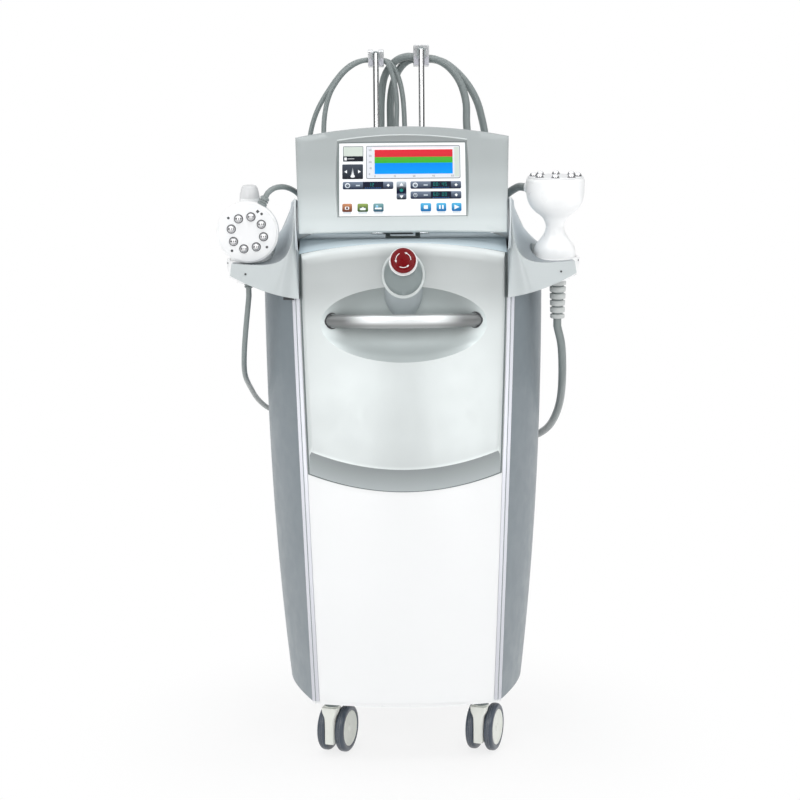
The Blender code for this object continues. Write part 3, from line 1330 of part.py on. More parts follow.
def build_mains_module():
    """The mains inlet with its socket well, and the rocker switch above it."""
    outside = REAR_REACH + WALL + GAP * 2
    flange_half = INLET_HALF_WIDTH + INLET_FLANGE
    flange_tall = INLET_HALF_HEIGHT + INLET_FLANGE
    pivot = add_pivot("mains_place", (INLET_X, outside, INLET_Z))
    rings = [
        rectangle_ring(INLET_HALF_WIDTH, INLET_HALF_HEIGHT, -INLET_DEPTH),
        rectangle_ring(INLET_HALF_WIDTH, INLET_HALF_HEIGHT, 0),
        rectangle_ring(flange_half, flange_tall, 0),
        rectangle_ring(flange_half, flange_tall, INLET_FLANGE / 2),
    ]
    module = add_object("mains_inlet", loft(rings), DARK, pivot)
    well_z = -INLET_HALF_HEIGHT / 2
    rocker_z = INLET_HALF_HEIGHT / 2 + FACE_MARGIN
    rocker_back = -ROCKER_DEPTH - ROCKER_PROUD
    side = ROCKER_HALF_WIDTH + RUNNING_GAP
    tall = ROCKER_HALF_HEIGHT + RUNNING_GAP
    cut = boxes(
        ((-SOCKET_CAVITY_HALF_WIDTH, -SOCKET_CAVITY_DEPTH, well_z - SOCKET_CAVITY_HALF_HEIGHT),
         (SOCKET_CAVITY_HALF_WIDTH, INLET_FLANGE, well_z + SOCKET_CAVITY_HALF_HEIGHT)),
        ((-side, rocker_back - ROCKER_SWING, rocker_z - tall), (side, INLET_FLANGE, rocker_z + tall)))
    combine(module, add_tool("mains_wells", cut, pivot), "DIFFERENCE")

    face = INLET_FLANGE / 2 + ROCKER_PROUD
    height = ROCKER_HALF_HEIGHT
    valley = face - height * math.tan(ROCKER_TURN / 2)
    end = height * 0.96
    outline = [(rocker_back, -height * 0.4), (-ROCKER_PROUD, -end), (valley - ROCKER_PROUD, -end),
               (valley, 0), (face, end), (-ROCKER_PROUD, end), (rocker_back, height * 0.4)]
    hinge = add_pivot("rocker_pivot", (0, 0, rocker_z), parent=pivot)
    rocker = loft([[(x, y, z) for y, z in outline] for x in (-ROCKER_HALF_WIDTH, ROCKER_HALF_WIDTH)])
    add_object("power_switch", rocker, DARK, hinge)


def fan_ring(radius, blade_radius, turn, y):
    """Points round the rotor: hub between the blades, blade tips over them."""
    ring = []
    step = math.tau / FAN_BLADES
    start_share, end_share, root_share = FAN_BLADE_SHARES
    for blade in range(FAN_BLADES):
        for share, reach in ((0, radius), (start_share, blade_radius), (end_share, blade_radius),
                             (root_share, radius)):
            angle = step * (blade + share) + turn
            ring.append((reach * math.cos(angle), y, reach * math.sin(angle)))
    return ring


def build_fan():
    """The axial fan behind the rear grille: frame with its motor pin, and the bladed rotor."""
    back = REAR_REACH
    front = back - FAN_DEPTH
    frame = add_object("fan_housing", boxes(((FAN_X - FAN_HALF, front, FAN_Z - FAN_HALF),
                                             (FAN_X + FAN_HALF, back, FAN_Z + FAN_HALF))), DARK)
    bore = rod((FAN_X, front - OVERRUN, FAN_Z), (FAN_X, back + OVERRUN, FAN_Z), FAN_BORE_RADIUS, ROUND_FACETS)
    combine(frame, add_tool("fan_bore", bore), "DIFFERENCE")
    arm = FAN_BORE_RADIUS + WALL / 4
    strut_back = front + FAN_BACK
    struts = boxes(((FAN_X - arm, front, FAN_Z - FAN_STRUT_HALF),
                    (FAN_X + arm, strut_back, FAN_Z + FAN_STRUT_HALF)))
    combine(frame, add_tool("fan_strut", struts), "UNION")
    pin = lathe([(0, 0), (FAN_HUB_RADIUS, 0), (FAN_HUB_RADIUS, FAN_BACK), (FAN_PIN_RADIUS, FAN_BACK),
                 (FAN_PIN_RADIUS, FAN_DEPTH - FAN_BACK), (0, FAN_DEPTH - FAN_BACK)], SMALL_FACETS)
    place = Matrix.Translation((FAN_X, front, FAN_Z)) @ Matrix.Rotation(-math.pi / 2, 4, "X")
    bmesh.ops.transform(pin, matrix=place, verts=pin.verts)
    combine(frame, add_tool("fan_pin", pin), "UNION")

    pivot = add_pivot("fan_pivot", (FAN_X, front, FAN_Z))
    low = FAN_BACK + RUNNING_GAP
    high = FAN_DEPTH - FAN_BACK
    tip = FAN_BORE_RADIUS - RUNNING_GAP * 2
    bore_radius = FAN_PIN_RADIUS + GAP
    blade_low = mix(low, high, 0.1)
    blade_high = mix(low, high, 0.9)
    rings = [
        fan_ring(bore_radius, bore_radius, 0, low),
        fan_ring(FAN_HUB_RADIUS, FAN_HUB_RADIUS, 0, low),
        fan_ring(FAN_HUB_RADIUS, FAN_HUB_RADIUS, 0, blade_low),
        fan_ring(FAN_HUB_RADIUS, tip, 0, blade_low),
        fan_ring(FAN_HUB_RADIUS, tip, math.radians(20), blade_high),
        fan_ring(FAN_HUB_RADIUS, FAN_HUB_RADIUS, math.radians(20), blade_high),
        fan_ring(FAN_HUB_RADIUS, FAN_HUB_RADIUS, math.radians(20), high),
        fan_ring(bore_radius, bore_radius, math.radians(20), high),
    ]
    rotor = loft(rings, wrap=True)
    bmesh.ops.remove_doubles(rotor, verts=rotor.verts, dist=GAP * 0.1)
    bmesh.ops.dissolve_degenerate(rotor, edges=rotor.edges, dist=GAP * 0.1)
    add_object("fan_rotor", rotor, DARK, pivot)


def build_chassis():
    """The frame inside: four posts that carry the deck, and two shelves."""
    half = POST_SIZE / 2
    bottom = PANEL_BOTTOM
    top = DECK_TOP - WALL - GAP
    lower_top = LOWER_SHELF_Z + SHELF_THICKNESS
    upper_top = UPPER_SHELF_Z + SHELF_THICKNESS
    lower = boxes(((-POST_X, POST_FRONT_Y, LOWER_SHELF_Z), (POST_X, POST_REAR_Y, lower_top)))
    chassis = add_object("chassis_frame", lower, STEEL)
    posts = boxes(*[((x - half, y - half, bottom), (x + half, y + half, top))
                    for x in (-POST_X, POST_X) for y in (POST_FRONT_Y, POST_REAR_Y)])
    combine(chassis, add_tool("chassis_posts", posts), "UNION")
    upper = boxes(((-POST_X, POST_FRONT_Y, UPPER_SHELF_Z), (POST_X, POST_REAR_Y, upper_top)))
    combine(chassis, add_tool("chassis_shelf", upper), "UNION")
    return chassis


def build_modules():
    """The power supply, the RF generator and the vacuum pump."""
    for name, size, y, floor, look in (
            ("power_supply", SUPPLY_SIZE, SUPPLY_Y, PANEL_BOTTOM, STEEL),
            ("rf_generator", GENERATOR_SIZE, GENERATOR_Y, LOWER_SHELF_Z + SHELF_THICKNESS + GAP, DARK)):
        wide, deep, tall = size
        block = boxes(((-wide / 2, y - deep / 2, floor), (wide / 2, y + deep / 2, floor + tall)))
        bmesh.ops.bevel(block, geom=block.edges, offset=WALL / 2, segments=1, affect="EDGES")
        add_object(name, block, look)
    floor = UPPER_SHELF_Z + SHELF_THICKNESS + GAP
    middle = floor + PUMP_FOOT + PUMP_RADIUS
    half = PUMP_LENGTH / 2
    pump = add_object("vacuum_pump", boxes(((-half * 0.7, PUMP_Y - PUMP_RADIUS * 0.8, floor),
                                            (half * 0.7, PUMP_Y + PUMP_RADIUS * 0.8, middle))), STEEL)
    barrel = rod((-half, PUMP_Y, middle), (half, PUMP_Y, middle), PUMP_RADIUS, ROUND_FACETS)
    combine(pump, add_tool("pump_barrel", barrel), "UNION")


def smooth_route(points, step):
    """Points on a smooth curve through a route, closer in its bends, its end runs straight."""
    points = [Vector(point) for point in points]
    fine = []
    for a, b, c, d in zip(points, points[1:], points[2:], points[3:]):
        for share in spread(0, 1, 17)[:-1]:
            fine.append(0.5 * (2 * b + (c - a) * share + (2 * a - 5 * b + 4 * c - d) * share ** 2
                               + (3 * b - a - 3 * c + d) * share ** 3))
    fine.append(points[-2])
    costs = [0]
    before = fine[1] - fine[0]
    for a, b in zip(fine, fine[1:]):
        costs.append(costs[-1] + (b - a).length / step + before.angle(b - a) / LINE_TURN)
        before = b - a
    count = max(round(costs[-1]), 2)
    route = [points[0]]
    at = 0
    for i in range(count + 1):
        target = costs[-1] * i / count
        while at < len(fine) - 2 and costs[at + 1] < target:
            at += 1
        span = costs[at + 1] - costs[at]
        route.append(fine[at].lerp(fine[at + 1], (target - costs[at]) / span))
    route.append(points[-1])
    return route


def build_line(name, points, radius):
    """A hose or cable as a round tube along its smooth route."""
    route = smooth_route(points, radius * 2 * LINE_STEP_SHARE)
    curve = bpy.data.curves.new(name, "CURVE")
    curve.dimensions = "3D"
    curve.bevel_depth = radius
    curve.bevel_resolution = 2
    curve.use_fill_caps = True
    spline = curve.splines.new("POLY")
    spline.points.add(len(route) - 1)
    for place, point in zip(spline.points, route):
        place.co = (*point, 1)
    label, colour, roughness, metallic = LINE
    curve.materials.append(finish(name + "_" + label, colour, roughness, metallic))
    item = bpy.data.objects.new(name, curve)
    bpy.context.scene.collection.objects.link(item)
    return item


def exit_points(holder, local, direction, run):
    """Where a line leaves a piece of a holder, and a point straight on from there."""
    matrix = holder_matrix(holder)
    start = matrix @ (Vector(local) + Vector(direction) * GAP)
    ahead = matrix @ (Vector(local) + Vector(direction) * run)
    return [start, ahead]


def holder_matrix(item):
    """The world place of an empty, with the empties that carry it."""
    matrix = Matrix.LocRotScale(item.location, item.rotation_euler, None)
    return holder_matrix(item.parent) @ matrix if item.parent else matrix


def socket_points(name, run):
    """Where a line enters its socket on the deck, and a point straight above."""
    x, y, _ = socket_places()[name]
    top = DECK_TOP + SOCKET_HEIGHT + GAP
    return [Vector((x, y, top + run)), Vector((x, y, top))]


LEFT_CABLE_ROUTE = (
    (-0.2640, -0.0900, 0.7135), (-0.2690, -0.0720, 0.6700), (-0.2720, -0.0300, 0.6350),
    (-0.2700, 0.0500, 0.6030), (-0.2640, 0.1400, 0.5700), (-0.2480, 0.2250, 0.5420),
    (-0.2150, 0.2720, 0.5300), (-0.1800, 0.2920, 0.5650), (-0.1650, 0.2960, 0.6500),
    (-0.1600, 0.2940, 0.7600), (-0.1650, 0.2800, 0.8600), (-0.1720, 0.2450, 0.9500),
    (-0.1690, 0.2050, 1.0314), (-0.1540, 0.1920, 1.0889), (-0.1220, 0.1880, 1.1410),
    (-0.0960, 0.1870, 1.1690), (-0.0700, 0.1850, 1.1800), (-0.0450, 0.1845, 1.1790),
    (-0.0220, 0.1830, 1.1775), (-0.0060, 0.1815, 1.1530), (0.0030, 0.1800, 1.1129),
    (0.0060, 0.1780, 1.0523), (0.0080, 0.1770, 0.9700),
)
LEFT_HOSE_ROUTE = (
    (-0.2130, -0.1665, 0.9465), (-0.2040, -0.1560, 0.9515), (-0.1920, -0.1350, 0.9525),
    (-0.1810, -0.1000, 0.9480), (-0.1720, -0.0600, 0.9390), (-0.1600, -0.0050, 0.9200),
    (-0.1500, 0.0500, 0.9070), (-0.1450, 0.1000, 0.9170), (-0.1430, 0.1450, 0.9600),
    (-0.1410, 0.1680, 1.0209), (-0.1390, 0.1740, 1.0784), (-0.1290, 0.1750, 1.1200),
    (-0.1080, 0.1755, 1.1530), (-0.0870, 0.1745, 1.1710), (-0.0660, 0.1735, 1.1795),
    (-0.0450, 0.1733, 1.1795), (-0.0260, 0.1725, 1.1760), (-0.0150, 0.1710, 1.1520),
    (-0.0085, 0.1700, 1.1098), (-0.0095, 0.1700, 1.0523), (-0.0120, 0.1730, 0.9700),
)
RIGHT_CABLE_ROUTE = (
    (0.2640, -0.0900, 0.6850), (0.2690, -0.0550, 0.6300), (0.2725, 0.0200, 0.5785),
    (0.2690, 0.1000, 0.5360), (0.2600, 0.1800, 0.5050), (0.2400, 0.2450, 0.4850),
    (0.2050, 0.2850, 0.4880), (0.1780, 0.3000, 0.5400), (0.1660, 0.3030, 0.6300),
    (0.1600, 0.3020, 0.7500), (0.1580, 0.2920, 0.8600), (0.1570, 0.2620, 0.9550),
    (0.1550, 0.2220, 1.0314), (0.1450, 0.2050, 1.0836), (0.1330, 0.2010, 1.1170),
    (0.1120, 0.1980, 1.1480), (0.0840, 0.1960, 1.1730), (0.0600, 0.1935, 1.1815),
    (0.0365, 0.1930, 1.1820), (0.0130, 0.1990, 1.1805), (-0.0060, 0.2090, 1.1610),
    (-0.0180, 0.2130, 1.1250), (-0.0200, 0.2170, 1.0732), (-0.0170, 0.2190, 0.9900),
)
RIGHT_HOSE_ROUTE = (
    (0.1935, -0.0580, 0.9495), (0.1790, -0.0300, 0.9400), (0.1600, 0.0200, 0.9220),
    (0.1470, 0.0800, 0.9190), (0.1360, 0.1320, 0.9500), (0.1240, 0.1650, 1.0052),
    (0.1180, 0.1780, 1.0627), (0.1170, 0.1810, 1.1045), (0.1060, 0.1820, 1.1410),
    (0.0860, 0.1800, 1.1670), (0.0620, 0.1775, 1.1805), (0.0365, 0.1765, 1.1825),
    (0.0120, 0.1830, 1.1865), (-0.0100, 0.1925, 1.1790), (-0.0290, 0.2010, 1.1550),
    (-0.0360, 0.2060, 1.1170), (-0.0375, 0.2095, 1.0627), (-0.0385, 0.2110, 0.9800),
)


def build_lines(left_holder, right_holder, left_face):
    """The hose and the cable of each handpiece, up over its pole and down to its socket."""
    run = WIDE_LINE_RADIUS * 2
    relief_top = -SPIGOT_LENGTH - GAP
    start = exit_points(left_holder, (-RELIEF_SHIFT, 0, relief_top - LEFT_RELIEF_LENGTH), (0, 0, -1), run)
    build_line("left_cable", start + list(LEFT_CABLE_ROUTE) + socket_points("left_cable", run), LINE_RADIUS)
    aim = Vector((math.cos(GLAND_ANGLE), math.sin(GLAND_ANGLE), 0))
    gland_depth = mix(FACE_MARGIN, HEAD_RIM_DEPTH, 0.5)
    gland_end = aim * (HEAD_RADIUS + GAP + GLAND_LENGTH) - Vector((0, 0, gland_depth))
    start = exit_points(left_face, gland_end, aim, run / 2)
    build_line("left_hose", start + list(LEFT_HOSE_ROUTE) + socket_points("left_hose", run), LINE_RADIUS)
    start = exit_points(right_holder, (RELIEF_SHIFT, 0, relief_top - RIGHT_RELIEF_LENGTH), (0, 0, -1), run)
    build_line("right_cable", start + list(RIGHT_CABLE_ROUTE) + socket_points("right_cable", run),
               WIDE_LINE_RADIUS)
    aim = Vector((math.cos(HOSE_BOSS_ANGLE), math.sin(HOSE_BOSS_ANGLE), 0))
    boss_end = aim * HOSE_BOSS_REACH + Vector((0, 0, HOSE_BOSS_Z))
    start = exit_points(right_holder, boss_end, aim, run / 2)
    build_line("right_hose", start + list(RIGHT_HOSE_ROUTE) + socket_points("right_hose", run),
               WIDE_LINE_RADIUS)


def build_machine():
    """Build every piece in its place."""
    remove_all()
    for name, place in caster_places().items():
        build_caster(name, place)
    build_base_plate()
    build_front_panel()
    build_cover()
    build_handle()
    build_deck()
    for side_name, side in (("left", -1), ("right", 1)):
        build_side_panel(side_name + "_side_panel", side)
        build_trim_strip(side_name + "_trim_strip", side)
        build_arm(side_name + "_arm", side)
    build_rear_panel()
    build_mains_module()
    build_fan()
    build_chassis()
    build_modules()
    build_pole("left_cable_pole", POLE_LEFT_X, LEFT_CLIP_TOP, LEFT_CLIP_HEIGHT)
    build_pole("right_cable_pole", POLE_RIGHT_X, RIGHT_CLIP_TOP, RIGHT_CLIP_HEIGHT)

    display = add_pivot("display_pivot", (0, PIVOT_Y, PIVOT_Z), (-DISPLAY_LEAN, 0, 0))
    build_display(display)
    build_display_hinge()
    stop = add_pivot("estop_pivot", (0, HORN_TOP_Y, HORN_TOP_Z), (math.pi / 2 - ESTOP_LIFT, 0, 0))
    build_estop(stop)

    holders = {}
    for side_name, side in (("left", -1), ("right", 1)):
        holders[side_name] = add_pivot(side_name + "_holder", (side * HOLDER_X, HOLDER_Y, HOLDER_Z),
                                       (HOLDER_TILT, 0, 0))
        build_cup_ring(side_name + "_cup_ring", holders[side_name])
    left_face = add_pivot("left_face", (0, -HEAD_FORWARD, HEAD_RADIUS + HEAD_LIFT),
                          (math.pi / 2, 0, 0), holders["left"])
    right_face = add_pivot("right_face", (0, 0, GOBLET_HEIGHT), parent=holders["right"])
    build_left_shell(holders["left"], left_face)
    build_right_shell(holders["right"])
    build_electrodes("left", LEFT_DOME_CIRCLE, LEFT_DOME_ANGLE, HEAD_RADIUS, left_face)
    build_electrodes("right", RIGHT_DOME_CIRCLE, RIGHT_DOME_ANGLE, GOBLET_HEAD_RADIUS, right_face)
    build_left_gland(left_face)
    build_reliefs(holders["left"], holders["right"])
    build_lines(holders["left"], holders["right"], left_face)


build_machine()
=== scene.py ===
"""Looks of the body contouring machine, in metres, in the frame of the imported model."""

import math

import bmesh
import bpy
from mathutils import Matrix, Vector


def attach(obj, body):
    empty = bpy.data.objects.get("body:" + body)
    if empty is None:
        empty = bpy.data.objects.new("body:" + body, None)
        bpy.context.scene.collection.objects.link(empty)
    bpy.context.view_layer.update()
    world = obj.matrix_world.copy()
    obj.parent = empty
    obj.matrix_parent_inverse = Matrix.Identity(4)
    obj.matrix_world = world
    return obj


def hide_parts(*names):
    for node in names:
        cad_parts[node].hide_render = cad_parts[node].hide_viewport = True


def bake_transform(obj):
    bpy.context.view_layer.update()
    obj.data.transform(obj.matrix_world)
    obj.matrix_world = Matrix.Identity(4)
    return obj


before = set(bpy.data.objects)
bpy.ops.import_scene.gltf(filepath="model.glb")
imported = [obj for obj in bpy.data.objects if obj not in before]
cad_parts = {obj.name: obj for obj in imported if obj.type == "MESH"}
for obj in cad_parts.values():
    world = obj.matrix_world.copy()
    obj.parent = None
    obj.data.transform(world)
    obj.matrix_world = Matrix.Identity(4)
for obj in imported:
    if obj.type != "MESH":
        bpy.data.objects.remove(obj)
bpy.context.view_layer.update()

GAP = 0.0003
WALL = 0.004

# Cabinet
PANEL_BOTTOM = 0.105
PANEL_TOP = 0.773
TAPER_TOP = 0.79
FRONT_REACH = 0.205
FRONT_BOW = 0.034
TRIM_TOP = 0.18
ARM_INNER = 0.168
ARM_TIP = 0.2795
ARM_FRONT = -0.187
ARM_BLEND = 0.147
ARM_REAR = -0.04
SHOULDER = -0.012
TRAY_EDGE = 0.849
CHEEK_INNER = 0.1725
CHEEK_FOOT = 0.8535
SIDE_REACH = 0.2375
REAR_REACH = 0.245
DECK_TOP = 0.868

# Cover and handle
COVER_LOW = 0.488
COVER_HIGH = 0.845
COVER_INSET = 0.004
COVER_PROUD = 0.012
COVER_SEAT = 0.0006
COVER_ROUND = 0.005
COVER_SAG = 0.0265
COVER_CROWN = 0.017
COVER_BEVEL = 0.037
RECESS_Z = 0.733
RECESS_HALF_WIDTH = 0.134
RECESS_HALF_HEIGHT = 0.061
RECESS_DEPTH = 0.032
HANDLE_Z = 0.738
HANDLE_HALF = 0.121

# Stop button
STOP_Y = -0.2415
STOP_Z = 0.8335
STOP_LIFT = math.radians(10)
HORN_Y = -0.2188
HORN_Z = 0.812
HORN_TIP = 0.0215
HEAD_LEVEL = 0.008
ARROW_LEVEL = 0.02025

# Holders and handpieces
HOLDER_X = 0.25
HOLDER_Y = -0.11
HOLDER_Z = 0.8315
HOLDER_TILT = math.radians(6)
SPIGOT_LENGTH = 0.0295
GRIP_BASE = 0.0343
GRIP_WAIST = 0.015
HEAD_RADIUS = 0.0498
GOBLET_RADIUS = 0.048
HEAD_FORWARD = 0.056
HEAD_LIFT = 0.0045
GOBLET_HEIGHT = 0.1335
GRIP_HEIGHT = 0.1255
DOME_RADIUS = 0.0072
BALL_RADIUS = 0.0062
MARK_CIRCLE = 0.0385
LEFT_RELIEF = 0.014
RIGHT_RELIEF = 0.069
BOSS_HEIGHT = 0.114

# Display
PIVOT_Y = -0.117
PIVOT_Z = 0.89
DISPLAY_LEAN = math.radians(20)
DISPLAY_FRONT = -0.045
DISPLAY_HALF = 0.1745
SCREEN_HALF = 0.1026
SCREEN_LOW = -0.001
SCREEN_HIGH = 0.1244
SCREEN_FACE = -0.0448

# Lines, poles and casters
LINE_RADIUS = 0.0045
WIDE_LINE_RADIUS = 0.00675
SOCKET_HEIGHT = 0.014
POLE_Y = 0.16
POLE_RADIUS = 0.0053
CLIP_DEPTH = 0.045
AXLE_TRAIL = 0.022
AXLE_Z = 0.04
CASTER_TURN = math.radians(-20)
FORK_HALF = 0.008
HUB_RADIUS = 0.0297


def mix(low, high, share):
    return low + (high - low) * share


def ease(share):
    share = min(max(share, 0), 1)
    return share * share * (3 - 2 * share)


def spread(low, high, count):
    return [mix(low, high, i / (count - 1)) for i in range(count)]


def quadratic(a, b, c, share):
    return tuple(mix(mix(p, q, share), mix(q, r, share), share) for p, q, r in zip(a, b, c))


def cubic(a, b, c, d, share):
    first = quadratic(a, b, c, share)
    second = quadratic(b, c, d, share)
    return tuple(mix(p, q, share) for p, q in zip(first, second))


def between(value, table):
    """The share at a value, on straight lines between a table's own values."""
    for (low, first), (high, last) in zip(table, table[1:]):
        if value < high:
            return mix(first, last, max((value - low) / (high - low), 0))
    return table[-1][1]


def mm(*points):
    """Points written in millimetres."""
    return [tuple(value / 1000 for value in point) for point in points]


# Materials


def feed(tree, made, inputs):
    """Link or set a node's inputs."""
    for key, value in inputs.items():
        if isinstance(value, bpy.types.NodeSocket):
            tree.links.new(value, made.inputs[key])
        else:
            made.inputs[key].default_value = value


def add(tree, kind, inputs=None, **settings):
    made = tree.nodes.new("ShaderNode" + kind)
    for key, value in settings.items():
        setattr(made, key, value)
    feed(tree, made, inputs or {})
    return made


def calculate(tree, operation, *values):
    return add(tree, "Math", dict(enumerate(values)), operation=operation).outputs["Value"]


def remap(tree, value, low, high, first=0, last=1, **settings):
    inputs = {"Value": value, "From Min": low, "From Max": high, "To Min": first, "To Max": last}
    return add(tree, "MapRange", inputs, **settings).outputs["Result"]


def mixed(tree, share, first, last, **settings):
    inputs = {"Factor": share, "A": first, "B": last}
    return add(tree, "Mix", inputs, data_type="RGBA", **settings).outputs["Result"]


def joined(tree, share, first, last):
    return add(tree, "MixShader", {0: share, 1: first, 2: last}).outputs["Shader"]


def ramp(tree, value, marks, interpolation="LINEAR"):
    made = add(tree, "ValToRGB", {"Fac": value})
    made.color_ramp.interpolation = interpolation
    stops = made.color_ramp.elements
    while len(stops) < len(marks):
        stops.new(0.5)
    for stop, (position, colour) in zip(stops, marks):
        stop.position = position
        stop.color = (*colour, 1)
    return made.outputs["Color"]


def surface(name, colour, roughness, metallic=0.0, grain=0.0, grain_scale=900.0, vary=0.03, coat=0.0,
            wear=0.25, sheen_scale=6.0, shade_by_height=(), print_and_painted_light=False, glow=0.0, specular=0.5):
    """Moulded or painted material: soft colour drift, fine grain, uneven gloss and paler worn edges, with optional
    painted shade by height and corner colours that hold the screen's print and other pieces' painted light and shade.
    """
    material = bpy.data.materials.new(name)
    material.use_nodes = True
    tree = material.node_tree
    shader = tree.nodes["Principled BSDF"]
    place = add(tree, "TexCoord").outputs["Object"]

    def noise(scale, detail):
        return add(tree, "TexNoise", {"Scale": scale, "Detail": detail, "Vector": place}).outputs["Fac"]

    base = ramp(tree, noise(sheen_scale, 4), ((0.3, [c * (1 - vary) for c in colour]),
                                              (0.7, [min(c * (1 + vary), 1) for c in colour])))
    layers = []
    # Painted shade: the colour multiplied by a ramp over the object's height.
    if shade_by_height:
        low, high = shade_by_height[0][0], shade_by_height[-1][0]
        height = remap(tree, add(tree, "SeparateXYZ", {"Vector": place}).outputs["Z"], low, high)
        layers.append(ramp(tree, height, [((z - low) / (high - low), [share] * 3) for z, share in shade_by_height], "EASE"))
    # Corner colours from the mesh: print on the screen, painted light and shade on the other pieces.
    if print_and_painted_light:
        layers.append(add(tree, "VertexColor", layer_name="print_and_painted_light").outputs["Color"])
    for layer in layers:
        base = mixed(tree, 1, base, layer, blend_type="MULTIPLY")
    if glow:
        feed(tree, shader, {"Emission Color": base, "Emission Strength": glow})
    facing = add(tree, "VectorMath", {0: add(tree, "Bevel", {"Radius": 0.0012}, samples=4).outputs["Normal"],
                                      1: add(tree, "NewGeometry").outputs["Normal"]}, operation="DOT_PRODUCT")
    edge = remap(tree, facing.outputs["Value"], 0.99, 0.9, 0, wear)
    bump = add(tree, "Bump", {"Strength": grain, "Distance": 0.0004, "Height": noise(grain_scale, 2)})
    feed(tree, shader, {
        "Base Color": mixed(tree, edge, base, (*[mix(c, 0.95, 0.5) for c in colour], 1)),
        "Roughness": remap(tree, noise(38, 5), 0.35, 0.65, roughness * 0.9, min(roughness * 1.15, 1)),
        "Metallic": metallic, "Specular IOR Level": specular, "Coat Weight": coat, "Coat Roughness": 0.08,
        "Normal": bump.outputs["Normal"]})
    return material


# Painted light: shares of a look's colour by height (painted shade on the cover, bezel and strips), by drop from the
# cover's crest (painted highlight), in the recess (painted shade, with the handle's shadow) and round the handle
# (painted highlight over a dark painted reflection line)
COVER_SHADE_BY_HEIGHT = ((0.488, 0.78), (0.56, 0.85), (0.64, 0.91), (0.72, 0.88), (0.8, 0.62), (0.85, 0.57))
CREST_HIGHLIGHT = ((0, 1.5), (0.0045, 1.52), (0.0105, 1.2), (0.019, 1.04), (0.0215, 1), (0.03, 1))
RECESS_SHADE = ((0.672, 0.71), (0.7, 0.8), (0.7225, 0.48), (0.74, 0.53), (0.76, 0.67), (0.794, 0.48))
# The bezel darker towards the top: a painted reflection of darker surroundings.
BEZEL_SHADE_BY_HEIGHT = ((0.85, 0.92), (0.89, 0.86), (0.906, 0.79), (0.955, 0.6), (1, 0.5), (1.035, 0.5))
